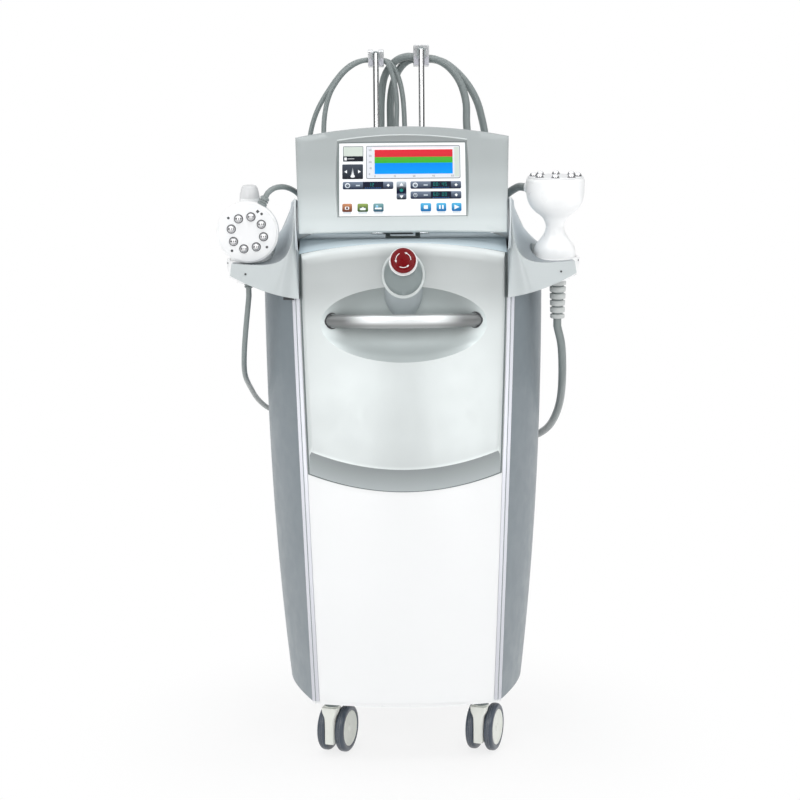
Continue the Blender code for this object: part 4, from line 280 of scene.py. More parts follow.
# The trim strips darker towards the bottom and a little at the top: painted shade.
STRIP_SHADE_BY_HEIGHT = ((0.105, 0.74), (0.4, 0.88), (0.55, 1), (0.78, 0.86))
GRIP_HIGHLIGHT_AND_SHADE = ((-1, 0.25), (-0.82, 0.58), (-0.62, 0.26), (-0.3, 0.55), (0, 0.97), (0.7, 0.97), (1, 0.4))
LOOKS = {
    "silver": surface("silver_paint", (0.55, 0.59, 0.595), 0.42, 0.18, 0.05, coat=0.15, print_and_painted_light=True),
    # Cover: the silver paint made lighter as painted light, with painted shade by height and painted light from corner
    # colours.
    "cover": surface("cover_paint_painted_light", (0.775, 0.82, 0.815), 0.36, 0.25, 0.05, coat=0.15, shade_by_height=COVER_SHADE_BY_HEIGHT, print_and_painted_light=True),
    # Rim: a lighter copy of the silver paint, a painted highlight on the stop collar and the display's arch edge.
    "rim": surface("rim_paint_painted_highlight", (0.62, 0.66, 0.655), 0.34, 0.25, 0.05, coat=0.25),
    # Tray: a darker copy of the silver paint, painted shade on the stop pedestal.
    "tray": surface("tray_paint_painted_shade", (0.42, 0.455, 0.485), 0.42, 0.15, 0.05, coat=0.1, print_and_painted_light=True),
    # Deck: a darker, almost matt copy of the silver paint, painted shade under the display.
    "deck": surface("deck_paint_painted_shade", (0.48, 0.56, 0.6), 0.7, grain=0.05, print_and_painted_light=True, specular=0.05),
    # Bezel: silver paint with painted reflection by height, darker towards the top.
    "bezel": surface("bezel_paint_painted_shade", (0.665, 0.72, 0.72), 0.38, 0.15, 0.05, coat=0.1, shade_by_height=BEZEL_SHADE_BY_HEIGHT),
    # Grey: a darker copy of the silver paint, painted shade on the downward-facing horn and in the trim strips'
    # grooves; also the grey of the clip loops and the display hinge.
    "grey": surface("grey_paint_and_painted_shade", (0.245, 0.285, 0.285), 0.34, 0.25, 0.05, coat=0.2, wear=0.6),
    "satin": surface("satin_metal", (0.92, 0.93, 0.93), 0.34, 0.3, 0.04, vary=0.02, print_and_painted_light=True),
    "blue_grey": surface("blue_grey_paint", (0.198, 0.233, 0.256), 0.42, 0.1, 0.08, coat=0.12),
    "white": surface("white_gloss", (0.925, 0.93, 0.93), 0.3, grain=0.015, vary=0.004, coat=0.2, wear=0),
    "panel": surface("panel_gloss", (0.865, 0.87, 0.87), 0.32, grain=0.015, vary=0.004, coat=0.15, wear=0),
    # Stub: a darker copy of the white gloss, painted shade on the left grip behind its head.
    "stub": surface("stub_gloss_painted_shade", (0.7, 0.705, 0.71), 0.32, grain=0.015, vary=0.01, coat=0.1, wear=0),
    "face": surface("white_satin", (0.86, 0.865, 0.87), 0.38, grain=0.08, vary=0.02),
    # Trim strips: pearl paint with painted shade by height.
    "lavender": surface("pearl_strip_painted_shade", (0.8, 0.81, 0.87), 0.34, 0.1, vary=0.015, coat=0.15, shade_by_height=STRIP_SHADE_BY_HEIGHT),
    "steel": surface("zinc_steel", (0.42, 0.43, 0.44), 0.42, 0.9, 0.1, vary=0.08),
    "ball": surface("ball_chrome", (0.62, 0.62, 0.63), 0.05, 1, vary=0.02, wear=0),
    "clip": surface("clip_chrome", (0.6, 0.61, 0.62), 0.28, 0.45, vary=0.02, wear=0.1),
    "tab": surface("clip_tab", (0.56, 0.56, 0.61), 0.32, 0.2, vary=0.03, coat=0.2),
    "pole": surface("pole_chrome", (0.92, 0.925, 0.93), 0.16, 1, vary=0.02, wear=0.1),
    "tyre": surface("tyre_rubber", (0.048, 0.064, 0.088), 0.36, 0, 0.3, 420, 0.12, 0.3),
    "hub": surface("hub_nylon", (0.76, 0.775, 0.72), 0.4, grain=0.12, vary=0.04),
    "red": surface("stop_red", (0.165, 0.0004, 0.003), 0.28, grain=0.03, vary=0.08, wear=0.05, specular=0.25),
    "dark": surface("black_plastic", (0.03, 0.033, 0.038), 0.45, grain=0.2, vary=0.1),
    # Dark rubber paint, used as painted shade in the gap round the cover, round the screen, in the boots' grooves and
    # on the casters' collars and fork undersides.
    "dark_seal_and_shade": surface("seal_rubber_and_painted_shade", (0.17, 0.2, 0.2), 0.5, grain=0.2, vary=0.08, wear=0),
    "line": surface("hose_rubber", (0.225, 0.258, 0.255), 0.32, 0, 0.25, 520, 0.06, 0.2),
    "relief": surface("relief_rubber", (0.56, 0.58, 0.57), 0.45, 0, 0.2, 520, 0.05),
    "page": surface("screen_page", (0.86, 0.87, 0.88), 0.22, vary=0.01, wear=0, glow=0.1),
    "print_and_painted_light": surface("screen_ink", (1, 1, 1), 0.3, vary=0.02, wear=0, sheen_scale=60, print_and_painted_light=True, glow=0.04,
                   specular=0.12),
    "floor": surface("floor_white", (0.9, 0.9, 0.9), 0.6, vary=0.005, wear=0),
}
dict.fromkeys(("cover", "rim", "tray", "deck", "bezel", "grey", "satin"), "silver")
dict.fromkeys(("ball", "clip", "tab", "pole"), "chrome")


# Pieces


def place_mesh(name, bm, look):
    mesh = bpy.data.meshes.new(name)
    bm.to_mesh(mesh)
    bm.free()
    mesh.materials.append(LOOKS[look])
    item = bpy.data.objects.new(name, mesh)
    bpy.context.scene.collection.objects.link(item)
    return item


def solid(name, bm, look):
    bmesh.ops.remove_doubles(bm, verts=bm.verts, dist=0.00001)
    bmesh.ops.recalc_face_normals(bm, faces=bm.faces)
    return place_mesh(name, bm, look)


def combine(item, bm, look, operation):
    """Cut or join a form at once, so that no tool object stays."""
    tool = solid("tool", bm, look)
    modifier = item.modifiers.new("combine", "BOOLEAN")
    modifier.operation = operation
    modifier.object = tool
    modifier.solver = "EXACT"
    depsgraph = bpy.context.evaluated_depsgraph_get()
    mesh = bpy.data.meshes.new_from_object(item.evaluated_get(depsgraph))
    item.modifiers.clear()
    item.data = mesh
    bpy.data.objects.remove(tool, do_unlink=True)


def paint(item, tone):
    """Write a tone's corner colours on a piece, mostly painted light and shade, for a look that reads them from the
    mesh.
    """
    layer = item.data.color_attributes.new("print_and_painted_light", "FLOAT_COLOR", "CORNER")
    for face in item.data.polygons:
        for index in face.loop_indices:
            spot = item.data.vertices[item.data.loops[index].vertex_index].co
            layer.data[index].color = (*tone(spot, face), 1)


def smooth(item, angle):
    item.data.shade_smooth()
    item.data.set_sharp_from_angle(angle=math.radians(angle))


def piece(name, bm, look, nodes=(), body="cabinet", matrix=Matrix(), joins=(), cuts=(), tone=None,
          second=None, bevel=0.0, angle=35):
    """A finished piece, on its body and for its nodes, with a second look on the faces that belong to it."""
    for form in (bm, *joins, *cuts):
        bmesh.ops.transform(form, matrix=matrix, verts=form.verts)
    item = solid(name, bm, look)
    for operation, forms in (("UNION", joins), ("DIFFERENCE", cuts)):
        for form in forms:
            combine(item, form, look, operation)
    if tone:
        paint(item, tone)
    if second:
        other, belongs = second
        item.data.materials.append(LOOKS[other])
        for face in item.data.polygons:
            if belongs(face):
                face.material_index = 1
    smooth(item, angle)
    if bevel:
        rounding = item.modifiers.new("rounding", "BEVEL")
        rounding.width = bevel
        rounding.segments = 2
        rounding.limit_method = "ANGLE"
        rounding.angle_limit = math.radians(angle)
        rounding.harden_normals = True
    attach(item, body)
    if nodes:
        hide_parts(*nodes)
    return item


def loft(rings, start_tip=None, end_tip=None, wrap=False):
    bm = bmesh.new()
    rows = [[bm.verts.new(point) for point in ring] for ring in rings]
    pairs = list(zip(rows, rows[1:]))
    if wrap:
        pairs.append((rows[-1], rows[0]))
    for low, high in pairs:
        for i in range(len(low)):
            j = (i + 1) % len(low)
            bm.faces.new((low[i], low[j], high[j], high[i]))
    if not wrap:
        for ring, tip in ((rows[0], start_tip), (rows[-1], end_tip)):
            if tip is None:
                bm.faces.new(ring)
                continue
            middle = bm.verts.new(tip)
            for i, vertex in enumerate(ring):
                bm.faces.new((vertex, ring[(i + 1) % len(ring)], middle))
    return bm


def shell(outer, inner):
    bm = bmesh.new()
    front = [[bm.verts.new(point) for point in row] for row in outer]
    back = [[bm.verts.new(point) for point in row] for row in inner]
    rows = len(front)
    columns = len(front[0])
    for r in range(rows - 1):
        for c in range(columns - 1):
            bm.faces.new((front[r][c], front[r][c + 1], front[r + 1][c + 1], front[r + 1][c]))
            bm.faces.new((back[r][c], back[r + 1][c], back[r + 1][c + 1], back[r][c + 1]))
        for c in (0, columns - 1):
            bm.faces.new((front[r][c], front[r + 1][c], back[r + 1][c], back[r][c]))
    for c in range(columns - 1):
        for r in (0, rows - 1):
            bm.faces.new((front[r][c], front[r][c + 1], back[r][c + 1], back[r][c]))
    return bm


def lathe(profile, facets=72, closed=False, matrix=Matrix()):
    bm = bmesh.new()
    verts = [bm.verts.new((radius, 0, height)) for radius, height in profile]
    edges = [bm.edges.new(pair) for pair in zip(verts, verts[1:])]
    if closed:
        edges.append(bm.edges.new((verts[-1], verts[0])))
    bmesh.ops.spin(bm, geom=verts + edges, cent=(0, 0, 0), axis=(0, 0, 1),
                   angle=math.tau, steps=facets, use_merge=True)
    bmesh.ops.remove_doubles(bm, verts=bm.verts, dist=0.00001)
    bmesh.ops.transform(bm, matrix=matrix, verts=bm.verts)
    return bm


def box(low, high):
    bm = bmesh.new()
    bmesh.ops.create_cube(bm, size=1)
    low, high = Vector(low), Vector(high)
    place = Matrix.Translation((high + low) / 2) @ Matrix.Diagonal((*(high - low), 1))
    bmesh.ops.transform(bm, matrix=place, verts=bm.verts)
    return bm


def rod(start, end, radius, facets=48):
    along = Vector(end) - Vector(start)
    place = Matrix.Translation(start) @ Vector((0, 0, 1)).rotation_difference(along).to_matrix().to_4x4()
    return lathe([(0, 0), (radius, 0), (radius, along.length), (0, along.length)], facets, matrix=place)


def curve(points, steps):
    """Points on a smooth curve, from the second to the last but one of the points given."""
    points = [Vector(point) for point in points]
    fine = []
    for a, b, c, d in zip(points, points[1:], points[2:], points[3:]):
        for share in spread(0, 1, steps + 1)[:-1]:
            fine.append(0.5 * (2 * b + (c - a) * share + (2 * a - 5 * b + 4 * c - d) * share ** 2
                               + (3 * b - a - 3 * c + d) * share ** 3))
    return fine + [points[-2]]


def smooth_profile(points, steps=5):
    points = [Vector(point) for point in points]
    ghost = [points[0] * 2 - points[1]] + points + [points[-1] * 2 - points[-2]]
    return [tuple(point) for point in curve(ghost, steps)]


def outline(low, high, sag, crown, half, count=120):
    """Points round an upright frame, whose half width at a share of its height is half(share)."""
    across = count * 3 // 10
    upright = count // 2 - across
    flat = [2 * i / across - 1 for i in range(across)]
    rise = [i / upright for i in range(upright)]
    return ([(half(0) * s, low - sag * (1 - s ** 2)) for s in flat] + [(half(s), mix(low, high, s)) for s in rise]
            + [(-half(1) * s, high + crown * (1 - s ** 2)) for s in flat]
            + [(-half(1 - s), mix(high, low, s)) for s in rise])


def polar(radius, degrees):
    turn = math.radians(degrees)
    return radius * math.cos(turn), radius * math.sin(turn)


def arc(radius, start, end, count):
    """Points round the origin, at even angles in degrees."""
    return [polar(radius, turn) for turn in spread(start, end, count)]


def ellipse(z, half_width, half_height, y, count=96):
    angles = [math.tau * i / count - math.pi / 2 for i in range(count)]
    return [(half_width * math.cos(a), y, z + half_height * math.sin(a)) for a in angles]


# Frames of the holders, the display and the stop button
HOLDERS = {side_name: Matrix.Translation((side * HOLDER_X, HOLDER_Y, HOLDER_Z)) @ Matrix.Rotation(HOLDER_TILT, 4, "X")
           for side_name, side in (("left", -1), ("right", 1))}
FACES = {
    "left": HOLDERS["left"] @ Matrix.Translation((0, -HEAD_FORWARD, HEAD_RADIUS + HEAD_LIFT))
    @ Matrix.Rotation(math.pi / 2, 4, "X"),
    "right": HOLDERS["right"] @ Matrix.Translation((0, 0, GOBLET_HEIGHT)),
}
DISPLAY = Matrix.Translation((0, PIVOT_Y, PIVOT_Z)) @ Matrix.Rotation(-DISPLAY_LEAN, 4, "X")
STOP = Matrix.Translation((0, STOP_Y, STOP_Z)) @ Matrix.Rotation(math.pi / 2 - STOP_LIFT, 4, "X")

# Camera, at the photograph's angle
camera_data = bpy.data.cameras.new("photo_camera")
camera_data.lens = 73.125
camera_data.sensor_width = 36
camera = bpy.data.objects.new("photo_camera", camera_data)
camera.location = (-0.007, -2.8, 0.93)
camera.rotation_mode = "QUATERNION"
camera.rotation_quaternion = (Matrix.Rotation(math.radians(90 - 7.02), 3, "X")
                              @ Matrix.Rotation(math.radians(-0.5), 3, "Z")).to_quaternion()
bpy.context.scene.collection.objects.link(camera)
bpy.context.scene.camera = camera

# Hoses and cables, each on its route in millimetres
ROUTES = {
    "left_cable": (
        (-264, -90, 713.5), (-269, -72, 670), (-272, -30, 635), (-270, 50, 603), (-264, 140, 570), (-248, 225, 542),
        (-215, 272, 530), (-180, 292, 565), (-165, 296, 650), (-160, 294, 760), (-165, 280, 860), (-172, 245, 950),
        (-169, 205, 1031.4), (-154, 192, 1088.9), (-122, 188, 1141), (-96, 187, 1169), (-70, 185, 1180),
        (-45, 184.5, 1179), (-22, 183, 1177.5), (-6, 181.5, 1153), (3, 180, 1112.9), (6, 178, 1052.3), (8, 177, 970),
    ),
    "left_hose": (
        (-213, -166.5, 946.5), (-204, -156, 951.5), (-192, -135, 952.5), (-181, -100, 948), (-172, -60, 939),
        (-160, -5, 920), (-150, 50, 907), (-145, 100, 917), (-143, 145, 960), (-141, 168, 1020.9), (-139, 174, 1078.4),
        (-129, 175, 1120), (-108, 175.5, 1153), (-87, 174.5, 1171), (-66, 173.5, 1179.5), (-45, 173.3, 1179.5),
        (-26, 172.5, 1176), (-15, 171, 1152), (-8.5, 170, 1109.8), (-9.5, 170, 1052.3), (-12, 173, 970),
    ),
    "right_cable": (
        (264, -90, 685), (269, -55, 630), (272.5, 20, 578.5), (269, 100, 536), (260, 180, 505), (240, 245, 485),
        (205, 285, 488), (178, 300, 540), (166, 303, 630), (160, 302, 750), (158, 292, 860), (157, 262, 955),
        (155, 222, 1031.4), (145, 205, 1083.6), (133, 201, 1117), (112, 198, 1148), (84, 196, 1173),
        (60, 193.5, 1181.5), (36.5, 193, 1182), (13, 199, 1180.5), (-6, 209, 1161), (-18, 213, 1125),
        (-20, 217, 1073.2), (-17, 219, 990),
    ),
    "right_hose": (
        (193.5, -58, 949.5), (179, -30, 940), (160, 20, 922), (147, 80, 919), (136, 132, 950), (124, 165, 1005.2),
        (118, 178, 1062.7), (117, 181, 1104.5), (106, 182, 1141), (86, 180, 1167), (62, 177.5, 1180.5),
        (36.5, 176.5, 1182.5), (12, 183, 1186.5), (-10, 192.5, 1179), (-29, 201, 1155), (-36, 206, 1117),
        (-37.5, 209.5, 1062.7), (-38.5, 211, 980),
    ),
}
SOCKETS = {
    "left_hose": (-0.0125, 0.176, 0.0095),
    "left_cable": (0.0085, 0.176, 0.0095),
    "right_hose": (-0.04, 0.212, 0.0115),
    "right_cable": (-0.013, 0.218, 0.0115),
}


def heading(degrees):
    return Vector((*polar(1, degrees), 0))


DOWN = Vector((0, 0, -1))
GLAND_AIM = heading(62)
BOSS_AIM = heading(138)
GLAND_LENGTH = 0.0135
GLAND_START = GLAND_AIM * (HEAD_RADIUS + GAP) + DOWN * mix(0.0025, 0.015, 0.5)
RELIEF_TOP = -SPIGOT_LENGTH - GAP


def smooth_route(points, step):
    """Points at even steps on a smooth curve through a route's own points."""
    points = [Vector(point) for point in points]
    fine = curve(points, 16)
    lengths = [0]
    for a, b in zip(fine, fine[1:]):
        lengths.append(lengths[-1] + (b - a).length)
    count = round(lengths[-1] / step)
    route = [points[0]]
    at = 0
    for i in range(count + 1):
        target = lengths[-1] * i / count
        while at < len(fine) - 2 and lengths[at + 1] < target:
            at += 1
        span = lengths[at + 1] - lengths[at]
        route.append(fine[at].lerp(fine[at + 1], (target - lengths[at]) / span))
    return route + [points[-1]]


def tube(route, radius, sides=20):
    """A round skin along a route, carried round its bends without twist."""
    rings = []
    across = None
    for i, point in enumerate(route):
        along = (route[min(i + 1, len(route) - 1)] - route[max(i - 1, 0)]).normalized()
        if across is None:
            across = along.orthogonal().normalized()
        across = (across - along * across.dot(along)).normalized()
        other = along.cross(across)
        rings.append([point + across * radius * math.cos(math.tau * k / sides)
                      + other * radius * math.sin(math.tau * k / sides) for k in range(sides)])
    return loft(rings)


def make_line(name, matrix, start, aim, run, radius):
    """One hose or cable, from its gland over its pole down to its socket."""
    x, y, _ = SOCKETS[name]
    top = DECK_TOP + SOCKET_HEIGHT + GAP
    head = [matrix @ (Vector(start) + aim * GAP), matrix @ (Vector(start) + aim * run)]
    tail = [Vector((x, y, top + WIDE_LINE_RADIUS * 2)), Vector((x, y, top))]
    path = smooth_route(head + mm(*ROUTES[name]) + tail, 0.008)
    item = solid(name + "_line", tube(path, radius), "line")
    smooth(item, 50)
    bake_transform(item)
    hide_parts(name)


make_line("left_cable", HOLDERS["left"], (-0.006, 0, RELIEF_TOP - LEFT_RELIEF), DOWN, 0.0135, LINE_RADIUS)
make_line("left_hose", FACES["left"], GLAND_START + GLAND_AIM * GLAND_LENGTH, GLAND_AIM, 0.00675, LINE_RADIUS)
make_line("right_cable", HOLDERS["right"], (0.006, 0, RELIEF_TOP - RIGHT_RELIEF), DOWN, 0.0135, WIDE_LINE_RADIUS)
make_line("right_hose", HOLDERS["right"], BOSS_AIM * 0.06 - DOWN * BOSS_HEIGHT, BOSS_AIM, 0.00675, WIDE_LINE_RADIUS)


# Cabinet


def taper(z, top, bottom, power):
    share = min(max((TAPER_TOP - z) / (TAPER_TOP - PANEL_BOTTOM), 0), 1)
    return top - (top - bottom) * share ** power


def side_reach(z):
    return taper(z, SIDE_REACH, 0.202, 2.2)


def trim_outer(z):
    return taper(z, TRIM_TOP, 0.157, 1.2)


def trim_inner(z):
    return trim_outer(z) - 0.012


def front_y(x):
    return -FRONT_REACH + FRONT_BOW * (x / TRIM_TOP) ** 2


def arm_underside(x):
    share = max((x - ARM_INNER) / (ARM_TIP - ARM_INNER), 0)
    return PANEL_TOP + 0.038 * (0.35 * share + 0.65 * share ** 2)


def side_plan(z, count):
    edge = trim_outer(z) + GAP
    reach = side_reach(z)
    rear = (reach - 0.045, REAR_REACH)
    path = [quadratic((edge, front_y(edge)), (reach, -0.07), (reach, 0), s) for s in spread(0, 1, count)]
    return path + [quadratic((reach, 0), (reach, 0.15), rear, s) for s in spread(0, 1, count)[1:]]


def inward(points, distance):
    moved = []
    for i, (x, y) in enumerate(points):
        before = points[max(i - 1, 0)]
        after = points[min(i + 1, len(points) - 1)]
        along = Vector((after[0] - before[0], after[1] - before[1])).normalized()
        moved.append((x - along.y * distance, y + along.x * distance))
    moved[0] = (points[0][0], points[0][1] + distance)
    moved[-1] = (points[-1][0] - distance, points[-1][1])
    return moved


def make_side(side_name, side):
    outer = []
    inner = []
    strip = []
    for share in spread(0, 1, 33):
        level = mix(PANEL_BOTTOM, PANEL_TOP, share)
        plan = side_plan(level, 19)
        for rows, path in ((outer, plan), (inner, inward(plan, WALL))):
            rows.append([(side * x, y, mix(PANEL_BOTTOM, arm_underside(x) - GAP, share)) for x, y in path])
        low, high = trim_inner(level), trim_outer(level)
        middle = mix(low, high, 0.52)
        profile = [(low, -0.005), (low, 0.001), (mix(low, high, 0.2), 0.0017), (middle - 0.0008, 0.002),
                   (middle - 0.0006, 0.001), (middle + 0.0006, 0.001), (middle + 0.0008, 0.002),
                   (mix(low, high, 0.8), 0.0017), (high, 0.001), (high, -0.0025)]
        strip.append([(side * x, front_y(x) - proud, mix(PANEL_BOTTOM, arm_underside(x) - GAP, share))
                      for x, proud in profile])

    # Faces in the strip's middle groove take the darker grey paint: painted shade in the groove.
    def in_groove(face):
        x, y, z = face.center
        off = abs(abs(x) - mix(trim_inner(z), trim_outer(z), 0.52))
        return off < 0.00065 and front_y(x) - 0.0013 < y < front_y(x)

    piece(side_name + "_flank", shell(outer, inner), "blue_grey", [side_name + "_side_panel"], bevel=0.0008)
    piece(side_name + "_strip", loft(strip), "lavender", [side_name + "_trim_strip"], second=("grey", in_groove))


def make_front_panel():
    outer = []
    for z in spread(PANEL_BOTTOM, PANEL_TOP, 40) + [0.8407]:
        half = trim_inner(z) - GAP
        outer.append([(x, front_y(x), z) for x in spread(-half, half, 61)])
    inner = [[(x, y + WALL, z) for x, y, z in row] for row in outer]
    piece("front_skin", shell(outer, inner), "panel", ["front_panel"], bevel=0.0006,
          cuts=[box((-0.136, -0.209, 0.525), (0.136, -0.178, 0.845))])


def cover_outline(inset, top_inset, bottom_inset):
    low = COVER_LOW + bottom_inset
    high = COVER_HIGH - top_inset
    return outline(low, high, COVER_SAG, COVER_CROWN, lambda share: trim_inner(mix(low, high, share)) - inset, 160)


def recess_point(angle, share, lift):
    x = RECESS_HALF_WIDTH * share * math.cos(angle)
    z = RECESS_Z + RECESS_HALF_HEIGHT * share * math.sin(angle)
    return (x, front_y(x) - COVER_PROUD + RECESS_DEPTH * (1 - share ** 2.5) + lift, z)


def recess_depth(x, z):
    """The recess surface's y at x and at a height from the handle's axis."""
    share = math.hypot(x / RECESS_HALF_WIDTH, (HANDLE_Z + z - RECESS_Z) / RECESS_HALF_HEIGHT)
    return front_y(x) - COVER_PROUD + RECESS_DEPTH * max(1 - share ** 2.5, 0)


def handle_bar(longer, fatter, count=61, sides=24):
    rings = []
    for angle in spread(-math.pi / 2, math.pi / 2, count):
        share = mix(1, 0.78, abs(math.sin(angle)) ** 4)
        middle = Vector(((HANDLE_HALF + longer) * math.sin(angle), -0.22 + 0.036 * (1 - math.cos(angle)), HANDLE_Z))
        outward = Vector((math.sin(angle) * 0.036, -math.cos(angle) * HANDLE_HALF, 0)).normalized()
        rings.append([middle + outward * (0.009 * share + fatter) * math.cos(math.tau * i / sides)
                      + Vector((0, 0, (0.0103 * share + fatter) * math.sin(math.tau * i / sides)))
                      for i in range(sides)])
    return loft(rings)


def below_edge(face):
    """Whether a face of the cover is on its lower bevel."""
    return face.center.z < 0.532 and face.normal.y < 0 and face.normal.z < -0.12


def cover_painted_light(spot, face):
    """Painted light on the cover: painted shade in the recess that fades out at its ends, a painted highlight on the
    crest, and painted shade on the downward lower bevel under a painted bright line.
    """
    x, y, z = spot
    # Painted shade on the lower bevel, which faces down.
    if below_edge(face):
        half = trim_inner(COVER_LOW) - COVER_INSET
        low = COVER_LOW - COVER_SAG * (1 - (x / half) ** 2)
        share = min(max((z - low) / COVER_BEVEL, 0), 1)
        level = mix(0.74, 0.46, share)
        return level * 0.97, level, level * 1.02
    shade_by_height = between(z, COVER_SHADE_BY_HEIGHT)
    cx, _, cz = face.center
    if math.hypot(cx / RECESS_HALF_WIDTH, (cz - RECESS_Z) / RECESS_HALF_HEIGHT) < 0.999:
        soft = ease((abs(x) / RECESS_HALF_WIDTH - 0.68) / 0.3)
        level = mix(between(z, RECESS_SHADE) / shade_by_height, 1, soft)
        return level * 0.97, level, level
    drop = COVER_HIGH + COVER_CROWN * (1 - (x / (trim_inner(COVER_HIGH) - COVER_INSET)) ** 2) - z
    level = between(drop, CREST_HIGHLIGHT)
    line = COVER_LOW + COVER_BEVEL + 0.0015 - COVER_SAG * (1 - (x / (trim_inner(0.52) - 0.009)) ** 2)
    # Painted highlight: a bright line just above the lower bevel.
    if z < min(line, 0.53):
        level = 1.25
    return level, level, level


def grip_painted_light(spot, face):
    """Painted light on the handle: a painted highlight along the middle, painted shade towards the ends and a dark
    painted reflection line under it.
    """
    x, _, z = spot
    level = mix(between((z - HANDLE_Z) / 0.0115, GRIP_HIGHLIGHT_AND_SHADE), 0.22, ease((abs(x) - 0.045) / 0.055))
    return level * 0.98, level, level


def make_cover():
    edge = cover_outline(COVER_INSET, 0, 0)
    low_side = cover_outline(COVER_INSET, 0, 0.003)
    crest = cover_outline(COVER_INSET + COVER_ROUND, 0.019, COVER_BEVEL)
    soft = cover_outline(COVER_INSET + COVER_ROUND * 0.3, 0.0045, 0.03)
    softer = cover_outline(COVER_INSET + COVER_ROUND * 0.6, 0.0105, 0.0335)
    angles = [math.atan2((z - RECESS_Z) / RECESS_HALF_HEIGHT, x / RECESS_HALF_WIDTH) for x, z in crest]
    rings = [[(x, front_y(x) - proud, z) for x, z in points] for points, proud in (
        (edge, COVER_SEAT), (edge, COVER_SEAT + WALL / 2), (low_side, COVER_PROUD - COVER_ROUND * 1.7),
        (soft, COVER_PROUD - COVER_ROUND * 0.6), (softer, COVER_PROUD - COVER_ROUND * 0.15), (crest, COVER_PROUD))]
    rim = [recess_point(angle, 1, 0) for angle in angles]
    for share in (0.03, 0.5, 0.92):
        rings.append([(mix(x, rx, share), front_y(mix(x, rx, share)) - COVER_PROUD, mix(z, rz, share))
                      for (x, z), (rx, _, rz) in zip(crest, rim)])
    for share in (1, 0.985, 0.96, 0.93, 0.88, 0.82, 0.74, 0.64, 0.52, 0.38, 0.22):
        rings.append([recess_point(angle, share, 0) for angle in angles])
    rings.reverse()
    rings.append([(x * 0.975, front_y(x) - COVER_SEAT, mix(z, RECESS_Z, 0.03)) for x, z in edge])
    rings.append([(x, front_y(x) - COVER_PROUD + WALL, z) for x, z in crest])
    rings += [[recess_point(angle, share, WALL) for angle in angles] for share in (1, 0.82, 0.52, 0.22)]
    cover = piece("cover_skin", loft(rings, recess_point(0, 0, 0), recess_point(0, 0, WALL)), "cover",
                  ["upper_front_cover"], cuts=[handle_bar(0, 0.0017), handle_bar(0.0015, 0.0017)], tone=cover_painted_light,
                  angle=28)
    seams = {}
    for face in cover.data.polygons:
        for key in face.edge_keys:
            seams.setdefault(key, []).append(below_edge(face))
    for line in cover.data.edges:
        if any(seams[line.key]) and not all(seams[line.key]):
            line.use_edge_sharp = True


def make_cover_trim():
    pedestal = [ellipse(0.797, 0.034, 0.06, -0.18), ellipse(0.799, 0.0345, 0.056, -0.196),
                ellipse(0.806, 0.034, 0.046, -0.208), ellipse(HORN_Z, 0.0336, 0.0356, -0.2175),
                ellipse(HORN_Z, 0.033, 0.035, -0.2183)]
    # The pedestal takes the darker tray paint: painted shade in the recess.
    piece("stop_pedestal", loft(pedestal), "tray", tone=lambda spot, face: (0.96, 0.98, 0.95), angle=50)
    # The collar at the horn's base takes the lighter rim paint: a painted highlight.
    collar = [ellipse(HORN_Z, *sizes) for sizes in mm(
        (29, 31, -217), (34, 37.5, -217), (34.6, 38.1, -218.8), (34, 37.2, -220.4), (31.8, 34.2, -220.8),
        (29, 31, -219.6))]
    piece("stop_collar", loft(collar, wrap=True), "rim", angle=60)
    piece("handle_grip", handle_bar(0, 0.0012), "satin", ["push_handle"], tone=grip_painted_light)
    # A thin dark strip laid in the gap round the cover: painted shade standing in for the shadow in the gap.
    outer = cover_outline(0.001, 0, -0.0016)
    inner = cover_outline(0.0052, 0.004, 0.002)
    rings = [[(x, front_y(x) - depth, z) for x, z in points]
             for points, depth in ((outer, 0.0001), (outer, 0.0007), (inner, 0.0007), (inner, 0.0001))]
    piece("cover_gap_shade", loft(rings, wrap=True), "dark_seal_and_shade")
    # A dark C-shaped sheet on the recess round each handle end: painted shadow standing in for the depth of the slot.
    for side_name, side in (("left", -1), ("right", 1)):
        loop = []
        for sign in (1, -1):
            for turn in map(math.radians, spread(-118 * sign, 118 * sign, 33)):
                half = sign * 0.0021 * math.cos(turn * 90 / 119) ** 0.8
                loop.append((side * (HANDLE_HALF - 0.0072 + (0.01 + half) * math.cos(turn)),
                             (0.0124 + half) * math.sin(turn)))
        rings = [[(x, recess_depth(x, z) - proud, HANDLE_Z + z) for x, z in loop] for proud in (0.0011, -0.002)]
        piece("handle_slot_shadow_" + side_name, loft(rings), "dark")


